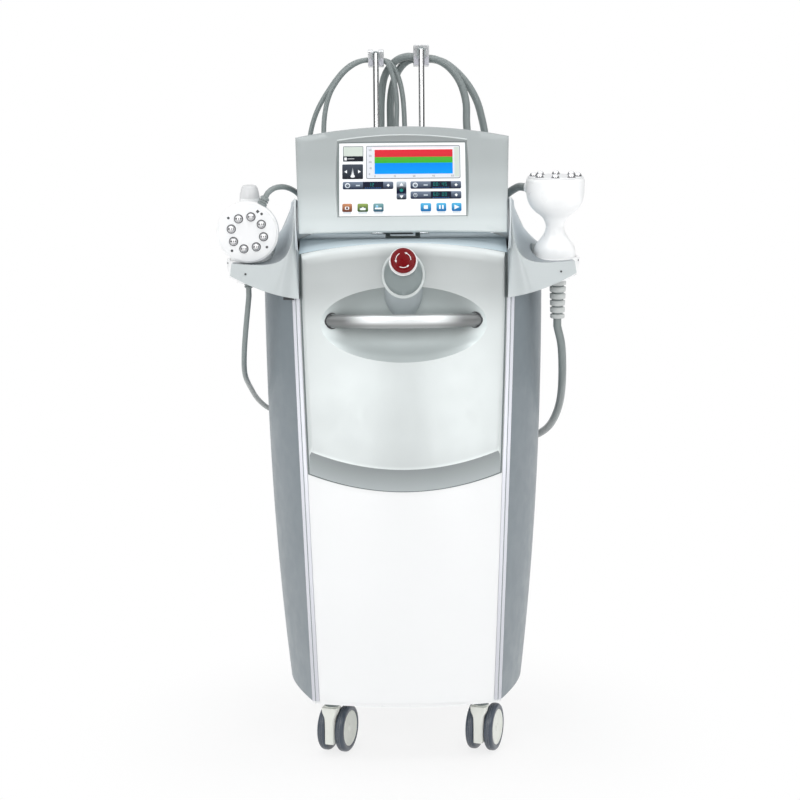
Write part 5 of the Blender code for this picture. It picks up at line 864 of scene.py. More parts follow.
def make_deck():
    outer = []
    half = ARM_INNER - GAP
    for share in spread(0, 0.13, 14) + [0.3, 0.6, 1]:
        row = []
        for x in spread(-half, half, 41):
            start = front_y(x)
            y = mix(start, REAR_REACH, share)
            rise = COVER_HIGH + COVER_CROWN * (1 - min((x / ARM_INNER) ** 2, 1))
            row.append((x, y, mix(rise, DECK_TOP, ease((y - start) / 0.045))))
        outer.append(row)
    inner = [[(x, y, z - WALL) for x, y, z in row] for row in outer]
    # Painted light on the deck: brighter along its front edge as a painted highlight, darker behind as painted shade;
    # the rim keeps a plain darker share.
    piece("deck_skin", shell(outer, inner), "deck", ["top_deck"],
          tone=lambda spot, face: [mix(1.5, 0.92, ease((spot.y - front_y(spot.x)) / 0.03))] * 3)
    section = mm((-5, 0), (-5, 5.5), (-4, 6.7), (-1, 6.7), (0, 5.5), (0, 0))
    rim = [[(x, REAR_REACH - 0.0005 + y, DECK_TOP + z) for y, z in section] for x in spread(-0.164, 0.164, 9)]
    piece("deck_rim", loft(rim), "deck", tone=lambda spot, face: (0.92, 0.92, 0.92), angle=60)
    for name, (x, y, radius) in SOCKETS.items():
        top = SOCKET_HEIGHT
        line = LINE_RADIUS if name.startswith("left") else WIDE_LINE_RADIUS
        profile = [(line + 0.0004, 0.0002), (radius + 0.002, 0.0002), (radius + 0.002, 0.0022), (radius, 0.003),
                   (radius, top - 0.0012), (radius - 0.0012, top), (line + 0.0004, top)]
        piece(name + "_socket", lathe(profile, 48, True, Matrix.Translation((x, y, DECK_TOP))), "dark")


def tray_curve(start, crest, power, dip, columns):
    """A hollow curve from an arm's tip along the tray and up the cheek."""
    path = []
    for share in spread(0, 1, columns):
        out = math.cos(share * math.pi / 2) ** (2 / power)
        up = math.sin(share * math.pi / 2) ** (2 / power)
        path.append((mix(crest[0], start[0], out), mix(start[1] - dip * (1 - out), crest[1], up)))
    return path


def arm_section(y, tip, shoulder, columns):
    back = ease((y - ARM_FRONT) / ARM_BLEND)
    rear = max(y, 0) / REAR_REACH
    low = arm_underside(tip)
    if shoulder:
        start = (tip, low + 0.012)
        crest = (mix(CHEEK_INNER + 0.015, CHEEK_INNER + 0.003, rear), mix(0.926, 0.872, rear))
        leave = (start[0] - 0.004, mix(start[1], crest[1], 0.3))
        arrive = (mix(start[0], crest[0], 0.65), mix(start[1], crest[1], 0.6))
        top = [cubic(start, leave, arrive, crest, share) for share in spread(0, 1, columns)]
    else:
        start = (tip - 0.003, low + mix(0.0195, 0.0275, back))
        crest = (CHEEK_INNER + mix(0.003, 0.015, back), 0.934 - 0.008 * back)
        top = tray_curve(start, crest, mix(0.36, 0.63, back), 0.008 * (1 - back), columns)
    under = [(x, arm_underside(x)) for x in spread(tip, ARM_INNER, columns - 4)]
    under += [(ARM_INNER, TRAY_EDGE), (CHEEK_INNER, CHEEK_FOOT)]
    under += [(CHEEK_INNER, mix(CHEEK_FOOT, crest[1], share)) for share in (0.5, 0.98)]
    return top, under


def arm_painted_shade(spot, face):
    """Painted shade on the arm: the tray darker than the cheek above it, the cheek with a cooler tint, both levelling
    out to the rear; front and downward faces keep the plain colour.
    """
    if face.normal.y < -0.5 or face.normal.z < -0.5:
        return 1, 1, 1
    level = mix(0.5, 0.98, ease((spot.z - 0.838) / 0.045))
    rear = ease((spot.y + 0.06) / 0.11)
    return [mix(level * tint, 0.92, rear) for tint in (1, 1.05, 1.11)]


def make_arm(side_name, side):
    stations = [(y, ARM_TIP, 0) for y in spread(ARM_FRONT, ARM_REAR, 21)]
    stations += [(mix(ARM_REAR, SHOULDER, s), mix(ARM_TIP, SIDE_REACH, s ** 1.5), 0) for s in (0.2, 0.4, 0.6)]
    plan = [point for point in side_plan(TAPER_TOP, 19) if point[1] > -GAP]
    plan[0] = (plan[0][0], SHOULDER)
    stations += [(y, x, 1) for x, y in plan]
    outer = []
    inner = []
    for y, tip, shoulder in stations:
        front = max(1 - (y - ARM_FRONT) / ARM_BLEND, 0)
        for rows, path in zip((outer, inner), arm_section(y, tip, shoulder, 25)):
            row = []
            for x, z in path:
                reach = max((x - ARM_INNER) / (ARM_TIP - ARM_INNER), 0)
                lean = max((z - TRAY_EDGE) / 0.085, 0)
                row.append((side * x, y + (0.012 * reach ** 2 + 0.03 * lean) * front, z))
            rows.append(row)
    cut = lathe(mm((0, -53), (36.8, -53), (36.8, -26.5), (41.3, -6), (41.3, 53), (0, 53)), 96,
                matrix=HOLDERS[side_name])
    piece(side_name + "_arm_skin", shell(outer, inner), "silver", [side_name + "_arm"], cuts=[cut], tone=arm_painted_shade,
          bevel=0.0012, angle=40)
    piece(side_name + "_arm_screw", rod((side * 0.254, -0.176, 0.8135), (side * 0.254, -0.1812, 0.8135), 0.0017, 24),
          "dark")
    aim = heading(-25)
    aim.x *= side
    start = Vector((side * HOLDER_X, HOLDER_Y, HOLDER_Z - 0.002))
    piece(side_name + "_cup_screw", rod(start + aim * 0.036, start + aim * 0.0414, 0.0015, 24), "dark")


make_front_panel()
piece("left_arm_bracket", box((-0.194, -0.179, 0.7712), (-0.1765, -0.168, 0.7765)), "dark", bevel=0.0006)
make_cover()
make_cover_trim()
make_deck()
for side_name, side in (("left", -1), ("right", 1)):
    make_side(side_name, side)
    make_arm(side_name, side)


# Stop button


def make_stop():
    rings = [ellipse(HORN_Z, 0.0305, 0.0325, HORN_Y), ellipse(HORN_Z, 0.0307, 0.0327, HORN_Y - 0.0012),
             ellipse(HORN_Z, 0.0303, 0.0323, HORN_Y - 0.0025)]
    for share in (0.3, 0.5, 0.7, 0.85):
        bend = ease(share) ** 0.8
        rings.append(ellipse(mix(HORN_Z, STOP_Z, share), mix(0.0303, HORN_TIP, bend), mix(0.0323, HORN_TIP, bend),
                             mix(HORN_Y, STOP_Y, share * 0.96)))
    rings.append([STOP @ Vector((x, z, 0)) for x, _, z in ellipse(0, HORN_TIP, HORN_TIP, 0)])
    # The horn takes the darker grey paint: painted shade on its downward-facing cone.
    piece("stop_horn", loft(rings), "grey", ["estop_housing"], angle=50)
    ring = mm((8.5, 0.2), (22.2, 0.2), (22.5, 0.8), (22.2, 2), (21.2, 2.5), (8.5, 2.5))
    piece("stop_ring", lathe(ring, 96, True), "white", matrix=STOP)
    edge = smooth_profile(mm((15.5, 0.4), (18.6, 2.2), (20, 5.5), (19.4, 8.8), (16.8, 11)))
    profile = mm((6.2, 0), (13, 0)) + edge + mm((16, 10.8), (15.2, 10.9), (8, 12), (0, 12))
    piece("stop_head", lathe(profile, 96), "red", ["estop_button"], "estop_head",
          matrix=STOP @ Matrix.Translation((0, 0, HEAD_LEVEL)))
    for k in range(3):
        arrow = bmesh.new()
        turns = spread(120 * k, 120 * k + 62, 12)
        grid = [[arrow.verts.new((*polar(radius, turn), ARROW_LEVEL)) for radius in (0.0113, 0.0123)]
                for turn in turns]
        for low, high in zip(grid, grid[1:]):
            arrow.faces.new((*low, *reversed(high)))
        tip = ((0.0101, turns[-1]), (0.0135, turns[-1]), (0.0118, turns[-1] + 18))
        arrow.faces.new([arrow.verts.new((*polar(*point), ARROW_LEVEL)) for point in tip])
        piece("stop_arrow_%d" % k, arrow, "white", body="estop_head", matrix=STOP)


make_stop()


# Display


def crowned(points, crown, depth):
    return [(x, depth - crown * (1 - (x / DISPLAY_HALF) ** 2), z) for x, z in points]


def display_outline(inset, crown, depth, foot=0):
    return crowned(outline(-0.03 + inset + foot, 0.136 - inset, 0, 0.016,
                           lambda share: mix(0.168, DISPLAY_HALF, share) - inset), crown, depth)


def pocket_outline(margin, depth, arch, crown, bulge=0.010):
    return crowned(outline(SCREEN_LOW - margin, SCREEN_HIGH + margin, 0, arch,
                           lambda share: SCREEN_HALF + margin + bulge * share * (1 - share)), crown, depth)


def make_display():
    front = DISPLAY_FRONT
    rings = [
        pocket_outline(GAP, -0.0405, 0, 0),
        pocket_outline(GAP, -0.043, 0, 0),
        pocket_outline(0.0026, front + 0.0006, 0.008, 0.0054),
        pocket_outline(0.0034, front, 0.008, 0.006),
        display_outline(0.012, 0.006, front),
        display_outline(0.002, 0.006, front),
        display_outline(0.0006, 0.0052, front + 0.0006),
        display_outline(0, 0.004, front + 0.002),
        display_outline(0, 0, -0.018, 0.012),
    ]
    piece("display_bezel", loft(rings), "bezel", ["display_front_shell"], "display", matrix=DISPLAY, angle=30)
    # A dark ring round the screen over the pocket's chamfer: painted shade standing in for the shaded chamfer.
    rings = [pocket_outline(margin, depth, arch, 0, bulge) for margin, depth, arch, bulge in mm(
        (0.1, -42.5, 0, 0), (0.1, -44.6, 0, 0), (1.4, -45, 0.6, 11), (2.6, -44.6, 1, 12), (2.6, -42.5, 1, 12))]
    piece("display_pocket_shade", loft(rings, wrap=True), "dark_seal_and_shade", (), "display", matrix=DISPLAY, angle=60)
    # A thin tube along the top of the screen pocket in the lighter rim paint: a painted highlight on the arched edge.
    arch = [Vector((x, y - 0.0002, z)) for x, y, z in pocket_outline(0.0034, front, 0.008, 0.006)
            if z > SCREEN_HIGH + 0.003]
    piece("display_arch_highlight", tube(arch, 0.0011, 12), "rim", (), "display", matrix=DISPLAY, angle=60)
    rings = [display_outline(inset, 0, depth, foot) for inset, depth, foot in mm(
        (0, -17.7, 12), (2, -15, 20), (4, -7.2, 32), (12, 0, 28), (28, 6, 16))]
    piece("display_rear", loft(rings), "blue_grey", ["display_back_cover"], "display", matrix=DISPLAY)
    piece("display_knuckle", box((-0.02, -0.014, -0.007), (0.02, 0, 0.021)), "dark", (), "display",
          DISPLAY, [rod((-0.02, 0, 0), (0.02, 0, 0), 0.007)], [rod((-0.024, 0, 0), (0.024, 0, 0), 0.0041)])
    piece("screen_page", box((-SCREEN_HALF, SCREEN_FACE, SCREEN_LOW), (SCREEN_HALF, -0.0408, SCREEN_HIGH)), "page",
          ["touch_screen"], "display", matrix=DISPLAY)


make_display()

# The screen's page, in shares of its width and height
PRINT = {
    "white": (0.85, 0.88, 0.9), "pale": (0.6, 0.66, 0.6), "frame": (0.17, 0.19, 0.2), "chart": (0.72, 0.74, 0.79),
    "black": (0.01, 0.012, 0.018), "coal": (0.06, 0.072, 0.095), "navy": (0.004, 0.008, 0.03),
    "steel": (0.21, 0.26, 0.34), "teal": (0.01, 0.2, 0.18), "dot": (0.03, 0.2, 0.6), "rose": (0.84, 0.7, 0.74),
    "red": (0.68, 0.024, 0.042), "red_low": (0.62, 0.028, 0.04), "green": (0.09, 0.38, 0.04),
    "green_low": (0.035, 0.43, 0.035), "blue": (0.002, 0.24, 0.8), "blue_low": (0.002, 0.31, 0.88),
    "copper": (0.62, 0.28, 0.14), "umber": (0.1, 0.022, 0.014), "moss": (0.32, 0.42, 0.12),
    "forest": (0.015, 0.06, 0.02), "sea": (0.22, 0.42, 0.42), "deep": (0.02, 0.07, 0.13), "sky": (0.1, 0.5, 0.78),
    "lake": (0.004, 0.12, 0.36), "mist": (0.55, 0.62, 0.68), "page": (0.84, 0.86, 0.87),
}
TALL = 1.62


def screen_patch(name, layer, shapes):
    """Thin areas on the screen, each from its top to its low colour."""
    bm = bmesh.new()
    print_and_painted_light = bm.loops.layers.float_color.new("print_and_painted_light")
    for colours, *polygons in shapes:
        top, low = (colours.split() * 2)[:2]
        for polygon in polygons:
            high_v = min(v for _, v in polygon)
            span = max(v for _, v in polygon) - high_v
            face = bm.faces.new([bm.verts.new((mix(-SCREEN_HALF, SCREEN_HALF, u), SCREEN_FACE - 0.0001 * layer,
                                               mix(SCREEN_HIGH, SCREEN_LOW, v))) for u, v in polygon])
            for loop, (_, v) in zip(face.loops, polygon):
                share = ((v - high_v) / span) ** 0.6
                loop[print_and_painted_light] = (*[mix(a, b, share) for a, b in zip(PRINT[top], PRINT[low])], 1)
    bmesh.ops.transform(bm, matrix=DISPLAY, verts=bm.verts)
    item = place_mesh(name, bm, "print_and_painted_light")
    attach(item, "display")


def rect(u0, u1, v0, v1):
    return [(u0, v0), (u0, v1), (u1, v1), (u1, v0)]


def rounded(u0, u1, v0, v1, corner=0.010):
    points = []
    tall = corner * TALL
    for u, v, start in ((u0 + corner, v0 + tall, 90), (u0 + corner, v1 - tall, 180),
                        (u1 - corner, v1 - tall, 270), (u1 - corner, v0 + tall, 0)):
        points += [(u + x, v - y * TALL) for x, y in arc(corner, start, start + 90, 5)]
    return points


def disc(u, v, radius):
    return [(u + x, v - y * TALL) for x, y in arc(radius, 0, 345, 24)]


SEGMENTS = {"0": "abcdef", "1": "bc", "2": "abged", "3": "abgcd", "4": "fgbc", "5": "afgcd", "6": "afgedc",
            "7": "abc", "8": "abcdefg", "9": "abfgcd"}


def digits(text, u, v, height):
    """Seven segment numbers as small bars."""
    wide = height * 0.33
    thick = height * 0.13
    bars = {"a": (0, 1, 0, 0), "g": (0, 1, 0.5, 0), "d": (0, 1, 1, 0), "f": (0, 0, 0, 1), "b": (1, 0, 0, 1),
            "e": (0, 0, 0.5, 1), "c": (1, 0, 0.5, 1)}
    shapes = []
    for index, figure in enumerate(text):
        start = u + index * wide * 1.5
        if figure == ":":
            shapes += [rect(start, start + thick * 0.6, v + height * s, v + height * s + thick) for s in (0.25, 0.65)]
            continue
        for key in SEGMENTS.get(figure, ""):
            x, run, y, upright = bars[key]
            left = start + x * (wide - thick * 0.6)
            top = v + y * (height - thick)
            if upright:
                shapes.append(rect(left, left + thick * 0.6, top, top + height * 0.55))
            else:
                shapes.append(rect(left, left + wide * run, top, top + thick))
    return shapes


BARS = ((0.028, 0.428, 0.531, 0.634), (0.563, 0.964, 0.531, 0.634), (0.563, 0.964, 0.669, 0.772))
ICONS = ((0.024, 0.102, "copper umber"), (0.144, 0.228, "moss forest"), (0.269, 0.35, "sea deep"),
         (0.641, 0.725, "sky lake"), (0.766, 0.844, "sky lake"), (0.886, 0.964, "sky lake"))
shapes = [
    ("frame", rounded(0.03, 0.192, 0.041, 0.253, 0.006), rounded(0.213, 0.96, 0.037, 0.494, 0.014)),
    ("coal black", rounded(0.024, 0.189, 0.29, 0.494, 0.008)),
    ("steel navy", *[rounded(*bar, 0.012) for bar in BARS]),
    ("mist navy", rounded(0.453, 0.531, 0.531, 0.655, 0.012)),
    ("navy", rect(0.453, 0.531, 0.61, 0.7)),
    ("steel black", rounded(0.453, 0.531, 0.69, 0.778, 0.012)),
]
for left, right, colours in ICONS:
    shapes.append((colours, rounded(left, right, 0.829, 0.942, 0.012)))
    shapes.append(("mist page", rect(left + 0.008, right - 0.008, 0.946, 0.975)))
screen_patch("screen_grounds", 1, shapes)
screen_patch("screen_areas", 2, [
    ("pale", rounded(0.035, 0.187, 0.05, 0.178, 0.004)),
    ("black", rounded(0.033, 0.189, 0.182, 0.249, 0.004)),
    ("chart", rounded(0.218, 0.955, 0.047, 0.484)),
    ("navy black", *[rect(mix(left, right, 0.4), mix(left, right, 0.8), high, low) for left, right, high, low in BARS]),
    ("white", rounded(0.045, 0.079, 0.87, 0.91, 0.006), rounded(0.163, 0.209, 0.88, 0.918, 0.006),
     rounded(0.281, 0.335, 0.885, 0.908, 0.004), rounded(0.667, 0.699, 0.858, 0.909, 0.004),
     rect(0.787, 0.799, 0.858, 0.911), rect(0.811, 0.823, 0.858, 0.911),
     [(0.908, 0.853), (0.908, 0.918), (0.948, 0.886)]),
])
figures = [digits(text, 0.236, v, 0.024)
           for text, v in (("40", 0.085), ("30", 0.165), ("20", 0.25), ("10", 0.335), ("0", 0.415))]
figures += [digits(text, u, 0.446, 0.024)
            for text, u in (("0", 0.279), ("15", 0.428), ("30", 0.583), ("45", 0.737), ("60", 0.888))]
shapes = [
    ("rose white", rect(0.262, 0.905, 0.058, 0.093)),
    ("red red_low", rect(0.281, 0.9, 0.093, 0.195)),
    ("green green_low", rect(0.281, 0.9, 0.195, 0.278)),
    ("blue blue_low", rect(0.281, 0.9, 0.278, 0.428)),
    ("pale", rect(0.914, 0.95, 0.06, 0.47)),
    ("frame", *[bar for figure in figures for bar in figure]),
    ("white", [(0.04, 0.392), (0.062, 0.415), (0.062, 0.369)], [(0.172, 0.392), (0.15, 0.369), (0.15, 0.415)]),
    ("coal white", [(0.107, 0.325), (0.096, 0.44), (0.118, 0.44)]),
    ("white", rounded(0.09, 0.124, 0.438, 0.472), rounded(0.041, 0.06, 0.196, 0.236, 0.004),
     rect(0.066, 0.12, 0.212, 0.218)),
]
for (left, right, high, low), text, start, radius in zip(BARS, ("12", "00:45", "60:00"), (0.52, 0.45, 0.45),
                                                         (0.021, 0.021, 0.016)):
    middle = (high + low) / 2
    turn = mix(left, right, 0.9)
    shapes += [
        ("white mist", disc(mix(left, right, 0.095), middle, radius)),
        ("mist", rect(mix(left, right, 0.26), mix(left, right, 0.34), middle - 0.008, middle + 0.008)),
        ("white", [(turn - 0.013, middle), (turn, middle + 0.022), (turn, middle - 0.022)],
         [(turn + 0.013, middle), (turn, middle - 0.022), (turn, middle + 0.022)]),
        ("teal", *digits(text, mix(left, right, start), high + 0.018, 0.046)),
        ("dot", *[rect(mix(left, right, s), mix(left, right, s + 0.016), low - 0.02, low - 0.012)
                  for s in spread(0.44, 0.74, 9)]),
    ]
shapes += [
    ("teal", disc(0.492, 0.652, 0.014)),
    ("white", [(0.492, 0.548), (0.476, 0.59), (0.508, 0.59)], [(0.476, 0.722), (0.492, 0.762), (0.508, 0.722)]),
    ("umber", disc(0.062, 0.89, 0.009)),
    ("forest", [(0.17, 0.868), (0.163, 0.895), (0.18, 0.884)], [(0.202, 0.868), (0.192, 0.884), (0.209, 0.895)]),
    ("mist sky", disc(0.298, 0.868, 0.011)),
]
screen_patch("screen_marks", 3, shapes)
centres = [(mix(left, right, 0.095), (high + low) / 2) for left, right, high, low in BARS]
screen_patch("screen_signs", 4, [("steel navy", *[disc(u, v, 0.012) for u, v in centres]),
                                 ("white", *[disc(u, v, 0.006) for u, v in centres])])


# Cups and handpieces


def grip_profile(height, *upper):
    """A spigot and a waisted grip, up to the points of its upper part."""
    start = [(0, -SPIGOT_LENGTH), (0.0135, -SPIGOT_LENGTH), (0.0145, 0.001 - SPIGOT_LENGTH)]
    start += mm((14.5, 0), (31, 0), (31.9, 0.4))
    waist = [(mix(GRIP_WAIST, GRIP_BASE, share), height * level) for level, share in
             ((0.02, 1), (0.11, 1), (0.175, 0.85), (0.25, 0.45), (0.32, 0.14), (0.39, 0))]
    return start + smooth_profile(waist + [(radius, height * level) for radius, level in upper])


def make_right_handpiece():
    upper = [(mix(GRIP_WAIST, GOBLET_RADIUS, share), level) for level, share in
             ((0.45, 0.04), (0.52, 0.2), (0.59, 0.56), (0.67, 0.82), (0.78, 0.97), (0.95, 1))]
    rim = [(radius, GOBLET_HEIGHT + drop) for radius, drop in mm(
        (47.9, -3.5), (47.1, -1.2), (45.5, 0), (44.3, 0), (44.3, -4), (27.7, -4), (27.7, 0), (0, 0))]
    boss = mm((0, 0), (9.5, 0), (9.5, 18), (8.5, 20.6), (6, 21.6), (0, 21.6))
    aim = (Matrix.Translation(BOSS_AIM * 0.0384 - DOWN * BOSS_HEIGHT)
           @ Vector((0, 0, 1)).rotation_difference(BOSS_AIM).to_matrix().to_4x4())
    piece("right_grip", lathe(grip_profile(GOBLET_HEIGHT, *upper) + rim, 96), "white", ["right_handpiece_shell"],
          "right_handpiece", matrix=HOLDERS["right"], joins=[lathe(boss, 64, matrix=aim)], angle=40)


def make_left_handpiece():
    upper = ((0.016, 0.55), (0.017, 0.7), (0.01615, 0.86), (0.013, 0.965), (0.0102, 0.995))
    profile = grip_profile(GRIP_HEIGHT, *upper) + [(0.008, GRIP_HEIGHT), (0, GRIP_HEIGHT)]
    head = mm((0, -48)) + smooth_profile(mm((22.4, -48), (32.9, -36), (46.3, -17.5), (49.8, -15)), 4)
    head += mm((49.8, -2.8), (49.4, -1.2), (48.1, -0.2), (47.3, 0), (34.8, 0), (34.8, -4), (18.2, -4), (18.2, 0),
               (0, 0))
    inverse = FACES["left"].inverted()

    def on_stub(face):
        x, y, _ = inverse @ face.center
        return y > 0 and math.hypot(x, y) > HEAD_RADIUS + 0.0003

    # The grip behind the head takes the darker stub gloss: painted shade.
    piece("left_grip", lathe(profile, 96, matrix=HOLDERS["left"]), "white", ["left_handpiece_shell"],
          "left_handpiece", joins=[lathe(head, 120, matrix=FACES["left"])], second=("stub", on_stub), angle=40)


def make_electrodes(side_name, circle, start, head_radius):
    face = FACES[side_name]
    body = side_name + "_handpiece"
    edge = head_radius - 0.0028
    high = GAP + 0.002
    spots = [Matrix.Translation((x, y, 0)) for x, y in arc(circle, start, start + 315, 8)]
    plate = [(0, GAP), (edge, GAP), (edge, high - 0.0008), (edge - 0.0005, high - 0.0002), (edge - 0.0012, high),
             (0, high)]
    hole = mm((0, -4), (7.5, -4), (7.5, 7), (0, 7))
    piece(side_name + "_face", lathe(plate, 96), "face", [side_name + "_face_plate"], body, matrix=face,
          cuts=[lathe(hole, 40, matrix=spot) for spot in spots], angle=40)
    seat = [(circle + x, z) for x, z in mm((-8, -3.7), (8, -3.7), (8, -0.5), (-8, -0.5))]
    piece(side_name + "_carrier", lathe(seat, 96, True), "steel", [side_name + "_electrode_ring"], body, face)
    dome = [(0, -0.0004), (BALL_RADIUS, -0.0004), (BALL_RADIUS, high - 0.0006)]
    dome += [(BALL_RADIUS * x, high + 0.0004 + 0.006 * y) for x, y in arc(1, 0, 90, 11)]
    ring = [(BALL_RADIUS, -0.0003), (DOME_RADIUS, -0.0003), (DOME_RADIUS, high + 0.0001), (0.0068, high + 0.0004),
            (0.0063, high + 0.0002), (BALL_RADIUS, high - 0.001)]
    for index, spot in enumerate(spots):
        piece("%s_dome_%d" % (side_name, index), lathe(dome, 40), "ball", (), body, matrix=face @ spot)
        piece("%s_dome_ring_%d" % (side_name, index), lathe(ring, 40, True), "dark", (), body, matrix=face @ spot)


def make_face_mark(name, angle, facets, *profile):
    place = FACES["left"] @ Matrix.Translation(heading(angle) * MARK_CIRCLE - DOWN * 0.0023)
    piece("left_face_" + name, lathe(mm(*profile), facets), "dark", (), "left_handpiece", matrix=place)


def make_relief(side_name, shift, radii, length, ribs, look):
    upper, lower, groove = radii
    place = HOLDERS[side_name] @ Matrix.Translation((shift, 0, RELIEF_TOP))
    profile = [(0, -length), (lower - 0.0008, -length), (lower, -length + 0.0008)]
    for i in range(ribs):
        top = -length * (1 - (i + 0.62) / ribs)
        radius = mix(lower, upper, i / (ribs - 1))
        half = length / ribs / 2
        profile += [(radius - groove * depth, top + half * rise) for depth, rise in
                    ((0, -0.3), (0.15, -0.14), (1, 0), (1, 0.3), (0.15, 0.44), (0, 0.6))]
    profile += [(upper, -0.001), (upper - 0.0008, 0), (0, 0)]
    inverse = place.inverted()

    def in_groove(face):
        x, y, z = inverse @ face.center
        share = min(max(-z / length, 0), 1)
        return math.hypot(x, y) < mix(upper, lower, share) - groove * 0.8 and 0.03 < share < 0.97

    # Faces in the boot's grooves take the dark rubber paint: painted shade in the grooves.
    piece(side_name + "_boot", lathe(profile, 64), look, [side_name + "_cable_relief"], side_name + "_handpiece",
          matrix=place, second=("dark_seal_and_shade", in_groove), angle=60)


CUP = mm((21.5, -0.3), (21.5, -33.5), (22.5, -34.5), (24.5, -34.5), (25.5, -33.5), (25.5, -28.5), (27, -26.5),
         (35, -26.5), (36.6, -25.5), (40.6, -7.2), (41, -5), (41, 3), (40.5, 4.1), (39, 4.5), (37, 4.4), (35.8, 4),
         (35.5, 3.2), (35.5, 0.3), (35, -0.3))
for side_name in ("left", "right"):
    piece(side_name + "_cup", lathe(CUP, 96, True), "white", [side_name + "_cup_ring"], matrix=HOLDERS[side_name],
          angle=50)
make_right_handpiece()
make_left_handpiece()
make_electrodes("left", 0.0265, 76, HEAD_RADIUS)
make_electrodes("right", 0.036, -96, GOBLET_RADIUS)
for index, angle in enumerate((52, 141, 228, 323)):
    make_face_mark("screw_%d" % index, angle, 24, (0, 0), (2.1, 0), (2.1, 0.3), (1.8, 0.5), (0.8, 0.5), (0.7, 0.2),
                   (0, 0.2))
make_face_mark("sensor", 63, 4, (0, 0), (3, 0), (3, 0.3), (2.6, 0.6), (1.2, 0.6), (1.1, 0.3), (0, 0.3))
make_relief("left", -0.006, (0.0078, 0.007, 0.0012), LEFT_RELIEF, 3, "line")
make_relief("right", 0.006, (0.014, 0.012, 0.0034), RIGHT_RELIEF, 6, "relief")
GLAND = mm((0, 0), (8, 0), (8, 3.4), (5.8, 3.8), (5.8, 5), (7.9, 5.4), (7.9, 7.6), (5.6, 8), (5.6, 9), (7.7, 9.4),
           (7.6, 11.2), (6.4, 13), (6, 13.5), (0, 13.5))
turn = Matrix.Rotation(math.radians(62), 4, "Z") @ Matrix.Rotation(math.pi / 2, 4, "Y")
piece("left_gland", lathe(GLAND, 48), "line", ["left_hose_gland"], "left_handpiece", angle=50,
      matrix=FACES["left"] @ Matrix.Translation(GLAND_START) @ turn)


# Poles and clips


def clip_band(low_x, high_x, front, back, bottom, top):
    """A strip bent to a closed loop, seen from the side."""
    rings = []
    for inset, edges in ((0, (low_x, high_x)), (0.003, (high_x, low_x))):
        corner = 0.006 - inset
        margin = inset + corner
        points = []
        for y, z, start in ((back - margin, bottom + margin, -90), (back - margin, top - margin, 0),
                            (front + margin, top - margin, 90), (front + margin, bottom + margin, 180)):
            points += [(y + across, z + up) for across, up in arc(corner, start, start + 90, 9)]
        rings += [[(edge, y, z) for y, z in points] for edge in edges]
    return loft(rings, wrap=True)


def make_pole(side_name, x, top, bottom, bridge):
    low = DECK_TOP + GAP
    high = mix(bottom, top, 0.8)
    profile = [(0, low), (0.013, low), (0.013, low + 0.0028), (0.0118, low + 0.004), (POLE_RADIUS, low + 0.004),
               (POLE_RADIUS, high - 0.001), (POLE_RADIUS - 0.001, high), (0, high)]
    piece(side_name + "_post", lathe(profile, 48), "pole", [side_name + "_cable_pole"],
          matrix=Matrix.Translation((x, POLE_Y, 0)), bevel=0.0005, angle=40)
    front = POLE_Y + POLE_RADIUS / 2
    back = front + CLIP_DEPTH
    clip = side_name + "_clip_"
    for label, low_x, high_x in (("left", x - 0.014, x - 0.005), ("right", x + 0.005, x + 0.014)):
        piece(clip + label, clip_band(low_x, high_x, front, back, bottom, top), "clip", bevel=0.0011, angle=40)
        piece(clip + "tab_" + label, box((low_x + 0.0009, front - 0.0022, bottom - 0.0004),
                                         (high_x - 0.0005, front - 0.0006, mix(bottom, top, 0.42))),
              "tab", bevel=0.0007, angle=40)
    foot = mix(bottom, top, 0.3)
    loop = [(-0.0062, foot), (-0.0062, top - 0.012)]
    loop += [(-0.0062 * math.cos(a), top - 0.0115 + 0.0062 * math.sin(a)) for a in spread(0.2, math.pi - 0.2, 13)]
    loop += [(0.0062, top - 0.012), (0.0062, foot)]
    piece(clip + "loop", tube([Vector((x + across, 0.1535, z)) for across, z in loop], 0.0012, 14), "grey",
          angle=60)
    saddle = clip_band(x - 0.0056, x + 0.0056, front + 0.0012, back - 0.002, bottom + 0.0004,
                       top - (0.0004 if bridge else 0.004))
    piece(clip + "saddle", saddle, "clip", bevel=0.0008, angle=40)
    if bridge:
        piece(clip + "bar", box((x - 0.0132, front - 0.0012, top - 0.0075), (x + 0.0132, front + 0.004, top)), "clip",
              bevel=0.0014, angle=40)


make_pole("left", -0.045, 1.198, 1.169, False)
make_pole("right", 0.0365, 1.205, 1.1695, True)


# Casters

COLLAR = mm((0, 76), (8, 76), (11.8, 79.5), (13.5, 81.2), (13.5, 84.6), (12.8, 85.2), (12.5, 85.6), (12.5, 98.4),
            (6.5, 98.4), (6.5, 112.4), (0, 112.4))
NECK = mm((21.5, 7.8, -4), (22.5, 8.2, -4), (56, 8.2, -4), (61, 8.3, -12.5), (65, 8.7, -11.2), (69, 9.8, -8),
          (73, 11.8, -5.6), (76.5, 13, -4), (80, 13.3, -2), (84, 13.3, -1))


# Faces of the upper collar, under the cabinet, and the fork's downward-facing underside take the dark rubber paint:
# painted shade.
def fork_shaded(face):
    return 0.0851 < face.center.z < 0.1124 or face.center.z < 0.0217 and face.normal.z < -0.7


